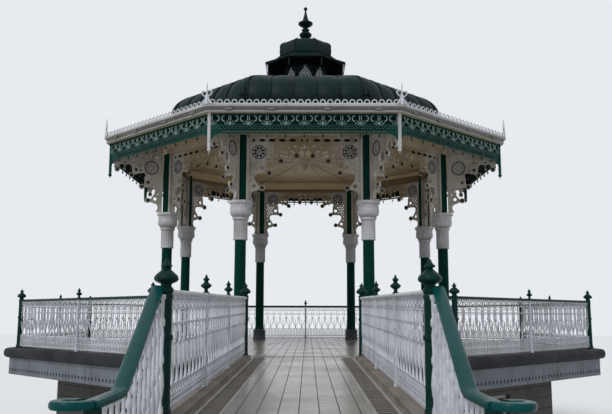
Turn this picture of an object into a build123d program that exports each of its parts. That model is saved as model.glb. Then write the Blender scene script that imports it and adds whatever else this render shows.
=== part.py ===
from build123d import *
import os
from math import cos, pi, radians, sin, tan

# Seaside bandstand on an octagonal platform, reached by a bridge and a short flight of steps.
# The origin is on the ground at the centre, +Z is up and the bridge runs towards -Y.
# Every length is in millimetres. A "reach" is the distance from the centre square to a side.
# A profile lists (share of its height, share of its reach) from the bottom up.

# Octagon
sides = 8
turn = 360 / sides
corner_turn = turn / 2
side_names = {
    0: "right",
    45: "back_right",
    90: "back",
    135: "back_left",
    180: "left",
    225: "front_left",
    270: "front",
    315: "front_right",
}
front_turn = 270
cardinal_turns = [0, 90, 180, 270]
diagonal_turns = [45, 135, 225, 315]
overcut = 3

# Platform
deck_level = 3400.0
slab_thickness = 260.0
coping_reach = 8180.0
coping_width = 680.0
coping_nose_radius = 95.0
nose_cuts = 2
stone_joint = 6.0
fascia_setback = 140.0
fascia_thickness = 45.0
fascia_drop = 440.0

# Undercroft
wall_setback = 1330.0
wall_thickness = 350.0
floor_thickness = 150.0
door_width = 1200.0
door_height = 2150.0
door_setback = 120.0
door_thickness = 60.0
frame_width = 90.0
frame_depth = 160.0

# Platform railings
rail_setback = 350.0
rail_height = 1300.0
handrail_width = 80.0
handrail_depth = 60.0
handrail_chamfer = 18.0
panel_clearance = 40.0
panel_thickness = 30.0
panel_rail_depth = 55.0
baluster_width = 26.0
baluster_pitch = 819.0
newel_flat = 94.0
mid_post_flat = 56.0
foot_spread = 1.5
foot_reveal = 10.0
onion_height = 285.0
onion_profile = [(0.053, 1.45), (0.123, 1.1), (0.36, 2.3), (0.649, 0.9), (0.719, 1.2), (1, 0.15)]
slender_height = 245.0
slender_profile = [(0.245, 0.9), (0.388, 2.5), (0.612, 0.9), (0.714, 1.5), (1, 0.2)]

# Bridge
parapet_length = 8950.0
bridge_lip = 110.0
bridge_fall = 130.0
bridge_half_gap = 1250.0
bridge_edge = 180.0
bridge_rail_width = 90.0
bridge_post_places = [2770.0, 5530.0]
kerb_width = 280.0
kerb_height = 60.0
grating_width = 220.0
grating_offset = 920.0
grating_thickness = 30.0
girder_offset = 1150.0
girder_depth = 420.0
girder_width = 220.0
girder_web = 40.0
girder_flange = 40.0

# Steps
riser_count = 5
riser = 160.0
going = 320.0
foot_landing = 1250.0
foot_post_setback = 340.0
abutment_overlap = 500.0
abutment_edge = 150.0
stair_rail_height = 1250.0
stair_rail_width = 120.0
stair_rail_depth = 55.0
stair_panel_low = 95.0
stair_level_run = 650.0
volute_radius = 190.0
volute_sides = 12

# Columns, one above the other from the deck: plinth, shaft, capital, upper post and ring beam
column_reach = 4140.0
plinth_height = 380.0
plinth_flat = 460.0
plinth_band = 60.0
plinth_inset = 18.0
shaft_height = 2485.0
shaft_radius = 155.0
shaft_sides = 12
capital_height = 1060.0
capital_reach = 315.0
capital_profile = [
    (0, 0.629),
    (0.071, 0.571),
    (0.524, 0.571),
    (0.538, 0.686),
    (0.58, 0.686),
    (0.736, 0.902),
    (0.868, 0.902),
    (0.934, 1),
    (1, 1),
]
upper_post_height = 1800.0
upper_post_flat = 210.0
beam_depth = 190.0
beam_width = 150.0

# Frets, with places as shares of the run from the post's middle and of the rise from the capital
fret_seat = 20.0
fret_thickness = 45.0
cusp_places = [(0.318, 0.199), (0.443, 0.413), (0.627, 0.595), (0.866, 0.694)]
bracket_end_rise = 0.728
scallop_bulge = 0.22
scallop_cuts = 3
roundel_place = (0.281, 0.74)
roundel_radius = 190.0
roundel_sides = 8

# Eaves
eaves_overhang = 1810.0
ceiling_thickness = 30.0
cornice_height = 190.0
cornice_wall = 90.0
cornice_projection = 55.0
cornice_profile = [(0, 1), (0.24, 0.82), (0.58, 0.22), (0.68, 0), (1, 0)]
valance_setback = 110.0
valance_depth = 515.0
valance_thickness = 25.0
drop_flat = 80.0
drop_length = 915.0
drop_tip = 115.0
drop_knob = 1.3
cresting_height = 140.0
cresting_thickness = 20.0
pinnacle_height = 575.0
pinnacle_flat = 90.0
pinnacle_profile = [(0.437, 0.5), (0.552, 1.4), (0.667, 0.5), (1, 0.09)]

# Roof: a low skirt behind the cornice, and a bell-shaped roof with a roll on each hip
roof_thickness = 90.0
skirt_clearance = 20.0
skirt_edge = 115.0
skirt_rise = 500.0
bell_flare = 180.0
bell_height = 1940.0
bell_reach = 4120.0
bell_profile = [
    (0.062, 0.995),
    (0.175, 1),
    (0.3, 0.985),
    (0.4, 0.956),
    (0.485, 0.908),
    (0.545, 0.848),
    (0.652, 0.699),
]
hip_width = 70.0
hip_rise = 50.0

# Lantern
lantern_curb = 110.0
lantern_height = 500.0
lantern_reach = 650.0
lantern_wall = 60.0
lantern_joint = 4.0
lantern_light_width = 380.0
lantern_light_height = 380.0
lattice_bar = 24.0
lantern_overhang = 670.0
lantern_soffit = 60.0
lantern_eaves_rise = 100.0
lantern_roof_rise = 285.0
lantern_roof_break = 130.0
cap_shoulder = 190.0
cap_reach = 830.0
cap_height = 560.0
cap_profile = [(0, 1), (0.312, 1.017), (0.598, 1.012), (0.741, 0.964), (0.848, 0.867), (0.938, 0.663), (1, 0.361)]
finial_height = 1310.0
finial_reach = 250.0
finial_sides = 8
finial_profile = [
    (0, 0.6),
    (0.145, 0.44),
    (0.187, 0.68),
    (0.242, 0.84),
    (0.294, 0.56),
    (0.332, 0.36),
    (0.365, 0.52),
    (0.397, 0.36),
    (0.47, 0.68),
    (0.536, 1),
    (0.577, 0.88),
    (0.614, 0.44),
    (0.886, 0.1),
    (0.919, 0.232),
    (0.946, 0.272),
    (0.973, 0.2),
    (1, 0.032),
]


def half_side(reach):
    """Half the length of an octagon's side."""
    return reach * tan(radians(corner_turn))


def corner_radius(reach):
    """Distance from the centre to an octagon's corner."""
    return reach / cos(radians(corner_turn))


def side_plane(angle, reach, level):
    """Upright plane on one side: x along the side, y up, z outwards."""
    out = (cos(radians(angle)), sin(radians(angle)), 0)
    along = (-out[1], out[0], 0)
    return Plane(origin=(reach * out[0], reach * out[1], level), x_dir=along, z_dir=out)


def radial_plane(angle, radius, level):
    """Upright plane through the centre line: x outwards, y up."""
    out = (cos(radians(angle)), sin(radians(angle)), 0)
    across = (out[1], -out[0], 0)
    return Plane(origin=(radius * out[0], radius * out[1], level), x_dir=out, z_dir=across)


def bridge_plane(place):
    """Upright plane along the bridge at a place on X: x along +Y, y up."""
    return Plane(origin=(place, 0, 0), x_dir=(0, 1, 0), z_dir=(1, 0, 0))


def octagon(reach, mode=Mode.ADD):
    """Octagon with sides square to X and Y, in the sketch in hand."""
    return RegularPolygon(radius=reach, side_count=sides, major_radius=False, rotation=corner_turn, mode=mode)


def mitred_run(angle, inner, outer, joint=0.0):
    """Plan of one side between two octagons, with half a joint left off each end."""
    out_x = cos(radians(angle))
    out_y = sin(radians(angle))
    corners = []
    for reach, end in ((inner, -1), (outer, -1), (outer, 1), (inner, 1)):
        along = end * (half_side(reach) - joint / 2)
        corners.append((reach * out_x - along * out_y, reach * out_y + along * out_x))
    return Polygon(*corners, align=None)


def shaped(profile, height, reach, base=0.0):
    """Levels, as (height, reach), of a profile drawn at its full height and reach above a base."""
    return [(base + height * rise, reach * share) for rise, share in profile]


def tapered_stack(levels, side_count=sides, base=0.0):
    """Upright piece with flat sides through regular sections, given as (height, reach) from the bottom up."""
    rings = []
    for height, reach in levels:
        radius = reach / cos(pi / side_count)
        turns = [2 * pi * (index + 0.5) / side_count for index in range(side_count)]
        rings.append([Vector(radius * cos(angle), radius * sin(angle), base + height) for angle in turns])
    faces = [Face(Wire.make_polygon(rings[0])), Face(Wire.make_polygon(rings[-1]))]
    for lower, upper in zip(rings, rings[1:]):
        for index in range(side_count):
            corners = [lower[index - 1], lower[index], upper[index], upper[index - 1]]
            faces.append(Face(Wire.make_polygon(corners)))
    return Solid(Shell(faces))


def hollowed(levels, thickness):
    """The levels of a shell's inside."""
    return [(height, reach - thickness) for height, reach in levels]


def at_corners(piece, reach, level):
    """Copies of an upright piece on the eight corners of an octagon."""
    with BuildPart() as group:
        with Locations((0, 0, level)):
            with PolarLocations(corner_radius(reach), sides, start_angle=corner_turn, rotate=False):
                add(piece)
    return group


def at_places(piece, places):
    """Copies of an upright piece at the given points."""
    with BuildPart() as group:
        with Locations(*places):
            add(piece)
    return group


def finish(piece, label):
    """Names a piece and writes its STEP file."""
    piece.part.label = label
    export_step(piece.part, f"parts/{label}.step")


os.makedirs("parts", exist_ok=True)

# Undercroft: a floor on the ground, eight walls with a doorway in each, and boarded doors
wall_reach = coping_reach - wall_setback
wall_inner_reach = wall_reach - wall_thickness
wall_top = deck_level - slab_thickness
door_middle = floor_thickness + door_height / 2
leaf_width = door_width - 2 * frame_width
leaf_height = door_height - frame_width
leaf_middle = door_middle - frame_width / 2

with BuildPart() as undercroft_floor:
    with BuildSketch():
        octagon(wall_inner_reach)
    extrude(amount=floor_thickness)
finish(undercroft_floor, "undercroft_floor")

for label, angles in (("undercroft_walls_cardinal", cardinal_turns), ("undercroft_walls_diagonal", diagonal_turns)):
    with BuildPart() as undercroft_walls:
        with BuildSketch():
            for angle in angles:
                mitred_run(angle, wall_inner_reach, wall_reach)
        extrude(amount=wall_top)
        for angle in angles:
            with Locations(side_plane(angle, wall_reach - wall_thickness / 2, door_middle)):
                Box(door_width, door_height, 2 * wall_thickness, mode=Mode.SUBTRACT)
    finish(undercroft_walls, label)

with BuildPart() as door_frames:
    for angle in side_names:
        with BuildSketch(side_plane(angle, wall_reach - door_setback, door_middle)):
            Rectangle(door_width, door_height)
            with Locations((0, -frame_width / 2)):
                Rectangle(leaf_width, leaf_height, mode=Mode.SUBTRACT)
        extrude(amount=-frame_depth)
finish(door_frames, "undercroft_door_frames")

with BuildPart() as doors:
    for angle in side_names:
        with BuildSketch(side_plane(angle, wall_reach - door_setback - frame_depth / 2, leaf_middle)):
            Rectangle(leaf_width, leaf_height)
        extrude(amount=door_thickness / 2, both=True)
finish(doors, "undercroft_doors")

# Platform: slab, stone coping with a rounded nose, and the fascia below it
coping_inner_reach = coping_reach - coping_width
bridge_half_width = bridge_half_gap + bridge_edge
slab_base = deck_level - slab_thickness
coping_middle = deck_level - slab_thickness / 2

with BuildPart() as platform_slab:
    with BuildSketch(Plane.XY.offset(slab_base)):
        octagon(coping_inner_reach)
    extrude(amount=slab_thickness)
finish(platform_slab, "platform_slab")

nose_levels = []
for index in range(nose_cuts + 1):
    nose_turn = radians(90 * index / nose_cuts)
    nose_rise = coping_nose_radius * (1 - cos(nose_turn))
    nose_levels.append((nose_rise, coping_reach - coping_nose_radius * (1 - sin(nose_turn))))
for height, reach in reversed(nose_levels[:]):
    nose_levels.append((slab_thickness - height, reach))
nosed_slab = tapered_stack(nose_levels, base=slab_base)

with BuildPart() as platform_coping:
    add(nosed_slab)
    with BuildSketch(Plane.XY.offset(slab_base)):
        octagon(coping_inner_reach)
    extrude(amount=slab_thickness, mode=Mode.SUBTRACT)
    for corner in range(sides):
        with Locations(radial_plane(corner_turn + turn * corner, corner_radius(coping_reach), coping_middle)):
            Box(overcut * coping_width, 2 * slab_thickness, stone_joint, mode=Mode.SUBTRACT)
    with Locations((0, -coping_reach, coping_middle)):
        Box(2 * bridge_half_width, overcut * coping_width, 2 * slab_thickness, mode=Mode.SUBTRACT)
finish(platform_coping, "platform_coping")

fascia_reach = coping_reach - fascia_setback
with BuildPart() as fascia:
    with BuildSketch(Plane.XY.offset(slab_base - fascia_drop)):
        for angle in side_names:
            mitred_run(angle, fascia_reach - fascia_thickness, fascia_reach, stone_joint)
    extrude(amount=fascia_drop)
    with Locations((0, -fascia_reach, slab_base)):
        Box(2 * bridge_half_width, overcut * fascia_thickness, overcut * fascia_drop, mode=Mode.SUBTRACT)
finish(fascia, "fascia")

# Platform railings: ladder panels, dark handrails, corner newels and posts between the bays
rail_reach = coping_reach - rail_setback
panel_top = rail_height - handrail_depth


def sloping_strip(start, end, low, high, rise=0.0):
    """Strip between two heights, which rises from start to end, in the sketch in hand."""
    return Polygon((start, low), (end, low + rise), (end, high + rise), (start, high), align=None)


def ladder_panel(start, end, low, high, rise=0.0):
    """Two rails with upright bars between them, in the sketch in hand; start is less than end."""
    run = end - start
    sloping_strip(start, end, low, low + panel_rail_depth, rise)
    sloping_strip(start, end, high - panel_rail_depth, high, rise)
    bars = round(run / baluster_pitch)
    for index in range(1, bars):
        left = start + run * index / bars - baluster_width / 2
        lift = rise * (left - start) / run
        bar_low = low + panel_rail_depth / 2 + lift
        bar_high = high - panel_rail_depth / 2 + lift
        sloping_strip(left, left + baluster_width, bar_low, bar_high, rise * baluster_width / run)


newel_reach = newel_flat / 2
mid_post_reach = mid_post_flat / 2
foot_height = panel_clearance - foot_reveal


def footed(head, reach):
    """Levels of a plain post with a spread foot, up to its head."""
    return [(0, reach * foot_spread), (foot_height, reach), (head, reach)]


def newel_levels(head):
    """Levels of a stout post under an onion finial."""
    return footed(head, newel_reach) + shaped(onion_profile, onion_height, newel_reach, head)


def mid_post_levels(head):
    """Levels of a thin post under a slender finial."""
    return footed(head, mid_post_reach) + shaped(slender_profile, slender_height, mid_post_reach, head)


corner_place = half_side(rail_reach) - newel_reach
bay_runs = [(-corner_place, -mid_post_reach), (mid_post_reach, corner_place)]
front_runs = [(-corner_place, -bridge_half_gap - newel_reach), (bridge_half_gap + newel_reach, corner_place)]

for angle, name in side_names.items():
    with BuildPart() as railing:
        with BuildSketch(side_plane(angle, rail_reach, deck_level)):
            for start, end in front_runs if angle == front_turn else bay_runs:
                ladder_panel(start, end, panel_clearance, panel_top)
        extrude(amount=panel_thickness / 2, both=True)
    finish(railing, f"railing_{name}")

with BuildPart() as platform_handrails:
    for angle in side_names:
        rail_face = side_plane(angle, rail_reach, deck_level + panel_top)
        for start, end in front_runs if angle == front_turn else bay_runs:
            rail_end = Plane(rail_face.from_local_coords((start, 0, 0)), x_dir=-rail_face.z_dir, z_dir=rail_face.x_dir)
            with BuildSketch(rail_end):
                with BuildLine():
                    Polyline(
                        (-handrail_width / 2, 0),
                        (handrail_width / 2, 0),
                        (handrail_width / 2, handrail_depth - handrail_chamfer),
                        (handrail_width / 2 - handrail_chamfer, handrail_depth),
                        (handrail_chamfer - handrail_width / 2, handrail_depth),
                        (-handrail_width / 2, handrail_depth - handrail_chamfer),
                        close=True,
                    )
                make_face()
            extrude(amount=end - start)
finish(platform_handrails, "platform_handrails")

newel = tapered_stack(newel_levels(rail_height))
finish(at_corners(newel, rail_reach, deck_level), "corner_newels")

mid_post = tapered_stack(mid_post_levels(rail_height))
mid_places = []
for angle in side_names:
    if angle != front_turn:
        mid_places.append((rail_reach * cos(radians(angle)), rail_reach * sin(radians(angle)), deck_level))
finish(at_places(mid_post, mid_places), "railing_mid_posts")

# Bridge: a deck that falls away from the platform, kerbs, gratings, girders and parapets
bridge_start = -coping_inner_reach
parapet_start = -rail_reach
near_newel_place = parapet_start - parapet_length
bridge_end = near_newel_place - bridge_lip
fall_start = -wall_reach
bridge_slope = bridge_fall / (fall_start - bridge_end)


def bridge_level(place):
    """Level of the bridge deck at a place on Y."""
    return deck_level - bridge_slope * (fall_start - place)


def bridge_strip(start, end, low, high):
    """Side view of a strip along the bridge between two heights over its deck; start is the lower end."""
    base = bridge_level(start)
    return sloping_strip(start, end, base + low, base + high, bridge_slope * (end - start))


bridge_end_level = bridge_level(bridge_end)

with BuildPart() as bridge_deck:
    with BuildSketch(bridge_plane(0)):
        bridge_strip(bridge_end, bridge_start, -slab_thickness, 0)
    extrude(amount=bridge_half_width, both=True)
    for place in (-grating_offset, grating_offset):
        with BuildSketch(bridge_plane(place)):
            bridge_strip(bridge_end, parapet_start, -grating_thickness, grating_thickness)
        extrude(amount=grating_width / 2, both=True, mode=Mode.SUBTRACT)
finish(bridge_deck, "bridge_deck")

with BuildPart() as bridge_gratings:
    for place in (-grating_offset, grating_offset):
        with BuildSketch(bridge_plane(place)):
            bridge_strip(bridge_end, parapet_start, -grating_thickness, 0)
        extrude(amount=grating_width / 2, both=True)
finish(bridge_gratings, "bridge_gratings")

kerb_start = parapet_start - 2 * newel_reach
with BuildPart() as bridge_kerbs:
    for place in (-bridge_half_gap, bridge_half_gap):
        with BuildSketch(bridge_plane(place)):
            bridge_strip(bridge_end, kerb_start, 0, kerb_height)
        extrude(amount=kerb_width / 2, both=True)
finish(bridge_kerbs, "bridge_kerbs")

girder_end = bridge_end + abutment_overlap
with BuildPart() as bridge_girders:
    for place in (-girder_offset, girder_offset):
        with BuildSketch(bridge_plane(place)):
            bridge_strip(girder_end, fall_start, -slab_thickness - girder_depth, -slab_thickness)
        extrude(amount=girder_web / 2, both=True)
        for low in (-slab_thickness - girder_depth, -slab_thickness - girder_flange):
            with BuildSketch(bridge_plane(place)):
                bridge_strip(girder_end, fall_start, low, low + girder_flange)
            extrude(amount=girder_width / 2, both=True)
finish(bridge_girders, "bridge_girders")

post_places = [near_newel_place + distance for distance in bridge_post_places]
parapet_runs = []
run_start = near_newel_place + newel_reach
for place in post_places:
    parapet_runs.append((run_start, place - mid_post_reach))
    run_start = place + mid_post_reach
parapet_runs.append((run_start, parapet_start - newel_reach))

with BuildPart() as bridge_parapets:
    for side in (-bridge_half_gap, bridge_half_gap):
        with BuildSketch(bridge_plane(side)):
            for start, end in parapet_runs:
                base = bridge_level(start)
                low = base + kerb_height + panel_clearance
                ladder_panel(start, end, low, base + panel_top, bridge_slope * (end - start))
        extrude(amount=panel_thickness / 2, both=True)
finish(bridge_parapets, "bridge_parapets")

with BuildPart() as bridge_handrails:
    for side in (-bridge_half_gap, bridge_half_gap):
        with BuildSketch(bridge_plane(side)):
            for start, end in parapet_runs:
                bridge_strip(start, end, panel_top, rail_height)
        extrude(amount=bridge_rail_width / 2, both=True)
finish(bridge_handrails, "bridge_handrails")

end_newel_foot = bridge_level(parapet_start + foot_spread * newel_reach)
end_newel_places = []
near_newel_places = []
bridge_post_points = []
for side in (-bridge_half_gap, bridge_half_gap):
    end_newel_places.append((side, parapet_start, end_newel_foot))
    uphill_edge = near_newel_place + foot_spread * newel_reach
    near_newel_places.append((side, near_newel_place, bridge_level(uphill_edge) + kerb_height))
    for place in post_places:
        uphill_edge = place + foot_spread * mid_post_reach
        bridge_post_points.append((side, place, bridge_level(uphill_edge) + kerb_height))

end_newel_head = rail_height + deck_level - end_newel_foot
end_newel = tapered_stack(newel_levels(end_newel_head))
finish(at_places(end_newel, end_newel_places), "bridge_end_newels")

kerb_newel = tapered_stack(newel_levels(rail_height - kerb_height))
finish(at_places(kerb_newel, near_newel_places), "bridge_foot_newels")

kerb_post = tapered_stack(mid_post_levels(rail_height - kerb_height))
finish(at_places(kerb_post, bridge_post_points), "bridge_posts")

# Steps: stacked stone treads on the abutment, with raking balustrades and scrolled handrails
tread_count = riser_count - 1
foot_level = bridge_end_level - riser_count * riser
foot_edge = bridge_end - tread_count * going - foot_landing

with BuildPart() as abutment:
    with BuildSketch(bridge_plane(0)):
        seat = bridge_level(girder_end) - slab_thickness
        with BuildLine():
            Polyline(
                (girder_end, 0),
                (girder_end, seat),
                (bridge_end, bridge_end_level - slab_thickness),
                (bridge_end, foot_level),
                (foot_edge, foot_level),
                (foot_edge, 0),
                close=True,
            )
        make_face()
    extrude(amount=bridge_half_width + abutment_edge, both=True)
finish(abutment, "abutment")

for index in range(1, tread_count + 1):
    top = bridge_end_level - index * riser
    with BuildPart() as tread:
        with BuildSketch(Plane.XY.offset(top - riser)):
            with Locations((0, bridge_end)):
                Rectangle(2 * bridge_half_width, index * going, align=(Align.CENTER, Align.MAX))
        extrude(amount=riser)
    finish(tread, f"step_{index}")

rake = riser / going
rake_top = near_newel_place - newel_reach
rake_run = riser_count * going
rake_foot = rake_top - rake_run
rake_drop = rake * rake_run
nosing_at_newel = bridge_end_level + rake * (rake_top - bridge_end)
rail_under = stair_rail_height - stair_rail_depth
foot_post_place = foot_edge + foot_post_setback
rail_foot_level = nosing_at_newel - rake_drop

with BuildPart() as stair_balustrades:
    for side in (-bridge_half_gap, bridge_half_gap):
        with BuildSketch(bridge_plane(side)):
            low = rail_foot_level + stair_panel_low
            ladder_panel(rake_foot, rake_top, low, rail_foot_level + rail_under, rake_drop)
            ladder_panel(foot_post_place + newel_reach, rake_foot, low, rail_foot_level + rail_under)
        extrude(amount=panel_thickness / 2, both=True)
finish(stair_balustrades, "stair_balustrades")

scroll_place = rake_foot - stair_level_run
with BuildPart() as stair_handrails:
    for side in (-1, 1):
        with BuildSketch(bridge_plane(side * bridge_half_gap)):
            rail_low = rail_foot_level + rail_under
            sloping_strip(rake_foot, rake_top, rail_low, rail_low + stair_rail_depth, rake_drop)
            sloping_strip(scroll_place, rake_foot, rail_low, rail_low + stair_rail_depth)
        extrude(amount=stair_rail_width / 2, both=True)
        scroll_middle = side * (bridge_half_gap - stair_rail_width / 2 + volute_radius)
        with BuildSketch(Plane((scroll_middle, scroll_place, rail_low))):
            RegularPolygon(volute_radius, volute_sides)
            RegularPolygon(volute_radius - stair_rail_width, volute_sides, mode=Mode.SUBTRACT)
        extrude(amount=stair_rail_depth)
finish(stair_handrails, "stair_handrails")

foot_post_height = rail_foot_level + rail_under - foot_level
foot_post = tapered_stack(footed(foot_post_height, newel_reach))
foot_places = [(side, foot_post_place, foot_level) for side in (-bridge_half_gap, bridge_half_gap)]
finish(at_places(foot_post, foot_places), "stair_foot_posts")

# Columns: stone plinth, round shaft, banded capital and an upper post up to the ring beam
capital_base = plinth_height + shaft_height
capital_top = capital_base + capital_height
beam_base = capital_top + upper_post_height
beam_top = beam_base + beam_depth

plinth_reach = plinth_flat / 2
plinth_levels = [
    (0, plinth_reach),
    (plinth_band, plinth_reach),
    (plinth_band + plinth_inset, plinth_reach - plinth_inset),
    (plinth_height - plinth_band, plinth_reach - plinth_inset),
    (plinth_height, shaft_radius + plinth_inset / 2),
]
finish(at_corners(tapered_stack(plinth_levels), column_reach, deck_level), "column_plinths")

shaft_levels = [(plinth_height, shaft_radius), (capital_base, shaft_radius)]
finish(at_corners(tapered_stack(shaft_levels, shaft_sides), column_reach, deck_level), "column_shafts")

capital_levels = shaped(capital_profile, capital_height, capital_reach, capital_base)
finish(at_corners(tapered_stack(capital_levels), column_reach, deck_level), "column_capitals")

upper_post_reach = upper_post_flat / 2
upper_post = tapered_stack([(capital_top, upper_post_reach), (beam_base, upper_post_reach)])
finish(at_corners(upper_post, column_reach, deck_level), "column_upper_posts")

# Pierced spandrel frets between the posts, and the same form as brackets under the eaves
spring = capital_top + fret_seat
fret_rise = beam_base - spring


def fret_point(place, run):
    """Point of a fret, from the post's middle and from the deck."""
    return (place[0] * run, spring + place[1] * fret_rise)


def scalloped(points):
    """The points with hollows between them, each bowed to the left of the way from one to the next."""
    edge = [points[0]]
    for start, end in zip(points, points[1:]):
        for index in range(1, scallop_cuts + 1):
            share = index / scallop_cuts
            bow = 4 * scallop_bulge * share * (1 - share)
            x = start[0] + share * (end[0] - start[0]) - bow * (end[1] - start[1])
            y = start[1] + share * (end[1] - start[1]) + bow * (end[0] - start[0])
            edge.append((x, y))
    return edge


fret_half = half_side(column_reach)
roundel_point = fret_point(roundel_place, fret_half)
with BuildPart() as arch_frets:
    for angle in side_names:
        with BuildSketch(side_plane(angle, column_reach, deck_level)):
            left_cusps = []
            for place in cusp_places:
                x, y = fret_point(place, fret_half)
                left_cusps.append((x - fret_half, y))
            right_cusps = [(-x, y) for x, y in reversed(left_cusps)]
            foot = fret_half - upper_post_reach
            edge = scalloped([(-foot, spring)] + left_cusps + right_cusps + [(foot, spring)])
            Polygon(*edge, (foot, beam_base), (-foot, beam_base), align=None)
            for end in (-1, 1):
                with Locations((end * (fret_half - roundel_point[0]), roundel_point[1])):
                    RegularPolygon(roundel_radius, roundel_sides, mode=Mode.SUBTRACT)
        extrude(amount=fret_thickness / 2, both=True)
finish(arch_frets, "arch_frets")

cornice_reach = column_reach + eaves_overhang
valance_reach = cornice_reach - valance_setback
drop_reach = drop_flat / 2
bracket_inner = corner_radius(upper_post_reach)
bracket_outer = corner_radius(valance_reach) - corner_radius(column_reach) - corner_radius(drop_reach)
with BuildPart() as eaves_brackets:
    for corner in range(sides):
        with BuildSketch(radial_plane(corner_turn + turn * corner, corner_radius(column_reach), deck_level)):
            cusps = [fret_point(place, bracket_outer) for place in cusp_places]
            edge = scalloped([(bracket_inner, spring)] + cusps + [fret_point((1, bracket_end_rise), bracket_outer)])
            Polygon(*edge, (bracket_outer, beam_top), (bracket_inner, beam_top), align=None)
            with Locations(fret_point(roundel_place, bracket_outer)):
                RegularPolygon(roundel_radius, roundel_sides, mode=Mode.SUBTRACT)
        extrude(amount=fret_thickness / 2, both=True)
finish(eaves_brackets, "eaves_brackets")

with BuildPart() as ring_beam:
    with BuildSketch(Plane.XY.offset(deck_level + beam_base)):
        octagon(column_reach + beam_width / 2)
        octagon(column_reach - beam_width / 2, Mode.SUBTRACT)
    extrude(amount=beam_depth)
finish(ring_beam, "ring_beam")

# Eaves: boarded ceiling and soffit, cornice, hanging valances, drops, cresting and pinnacles
soffit_level = deck_level + beam_top
cornice_inner = cornice_reach - cornice_wall
with BuildPart() as ceiling:
    with BuildSketch(Plane.XY.offset(soffit_level)):
        octagon(column_reach)
    extrude(amount=ceiling_thickness)
finish(ceiling, "ceiling")

with BuildPart() as eaves_soffit:
    with BuildSketch(Plane.XY.offset(soffit_level)):
        octagon(cornice_inner)
        octagon(column_reach, Mode.SUBTRACT)
    extrude(amount=ceiling_thickness)
finish(eaves_soffit, "eaves_soffit")

cornice_levels = []
for rise, inset in cornice_profile:
    cornice_levels.append((cornice_height * rise, cornice_reach - cornice_projection * inset))
cornice_block = tapered_stack(cornice_levels, base=soffit_level)
with BuildPart() as cornice:
    add(cornice_block)
    with BuildSketch(Plane.XY.offset(soffit_level)):
        octagon(cornice_inner)
    extrude(amount=cornice_height, mode=Mode.SUBTRACT)
finish(cornice, "cornice")

valance_half = half_side(valance_reach) - drop_reach
with BuildPart() as valances:
    for angle in side_names:
        with BuildSketch(side_plane(angle, valance_reach, soffit_level)):
            Rectangle(2 * valance_half, valance_depth, align=(Align.CENTER, Align.MAX))
        extrude(amount=valance_thickness / 2, both=True)
finish(valances, "valances")

knob_reach = drop_reach * drop_knob
drop_levels = [
    (-drop_length - drop_tip, drop_reach / 6),
    (-drop_length - drop_tip / 2, knob_reach),
    (-drop_length, knob_reach),
    (-drop_length + drop_tip / 3, drop_reach),
    (0, drop_reach),
]
finish(at_corners(tapered_stack(drop_levels), valance_reach, soffit_level), "corner_drops")

cresting_reach = cornice_reach - cornice_wall / 2
pinnacle_reach = pinnacle_flat / 2
cornice_top = soffit_level + cornice_height
cresting_half = half_side(cresting_reach) - pinnacle_reach
with BuildPart() as roof_cresting:
    for angle in side_names:
        with BuildSketch(side_plane(angle, cresting_reach, cornice_top)):
            Rectangle(2 * cresting_half, cresting_height, align=(Align.CENTER, Align.MIN))
        extrude(amount=cresting_thickness / 2, both=True)
finish(roof_cresting, "roof_cresting")

spire_height = pinnacle_height - cresting_height
pinnacle_levels = [(0, pinnacle_reach), (cresting_height, pinnacle_reach)]
pinnacle_levels += shaped(pinnacle_profile, spire_height, pinnacle_reach, cresting_height)
finish(at_corners(tapered_stack(pinnacle_levels), cresting_reach, cornice_top), "corner_pinnacles")

# Roof: a low skirt behind the cresting, then a bell-shaped roof with a roll on each hip
roof_foot_level = soffit_level + ceiling_thickness
skirt_foot_reach = cornice_inner - skirt_clearance
skirt_top_reach = bell_reach + bell_flare
skirt_height = skirt_edge + skirt_rise
skirt_levels = [(0, skirt_foot_reach), (skirt_edge, skirt_foot_reach), (skirt_height, skirt_top_reach)]
skirt_block = tapered_stack(skirt_levels, base=roof_foot_level)
skirt_hollow = tapered_stack(hollowed(skirt_levels, roof_thickness), base=roof_foot_level)
with BuildPart() as roof_skirt:
    add(skirt_block)
    add(skirt_hollow, mode=Mode.SUBTRACT)
finish(roof_skirt, "roof_skirt")

bell_level = roof_foot_level + skirt_height
bell_levels = [(0, skirt_top_reach)] + shaped(bell_profile, bell_height, bell_reach)
hollow_levels = hollowed(bell_levels, roof_thickness) + [(bell_height - roof_thickness, lantern_reach)]
bell_levels.append((bell_height, lantern_reach + lantern_curb))
bell_block = tapered_stack(bell_levels, base=bell_level)
bell_hollow = tapered_stack(hollow_levels, base=bell_level)
hip_outline = [(corner_radius(reach) + hip_rise, height) for height, reach in bell_levels]
for height, reach in reversed(bell_levels):
    hip_outline.append((corner_radius(reach) - roof_thickness / 2, height))
with BuildPart() as main_roof:
    add(bell_block)
    add(bell_hollow, mode=Mode.SUBTRACT)
    for corner in range(sides):
        with BuildSketch(radial_plane(corner_turn + turn * corner, 0, bell_level)):
            Polygon(*hip_outline, align=None)
        extrude(amount=hip_width / 2, both=True)
finish(main_roof, "main_roof")

# Lantern: a drum of eight latticed panels, its own eaves, a cushion cap and a turned finial
lantern_level = bell_level + bell_height
light_middle = lantern_level + lantern_height / 2
with BuildPart() as lantern_drum:
    with BuildSketch(Plane.XY.offset(lantern_level)):
        for angle in side_names:
            mitred_run(angle, lantern_reach - lantern_wall, lantern_reach, lantern_joint)
    extrude(amount=lantern_height)
    for angle in side_names:
        with Locations(side_plane(angle, lantern_reach, light_middle)):
            Box(lantern_light_width, lantern_light_height, overcut * lantern_wall, mode=Mode.SUBTRACT)
finish(lantern_drum, "lantern_drum")

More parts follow.
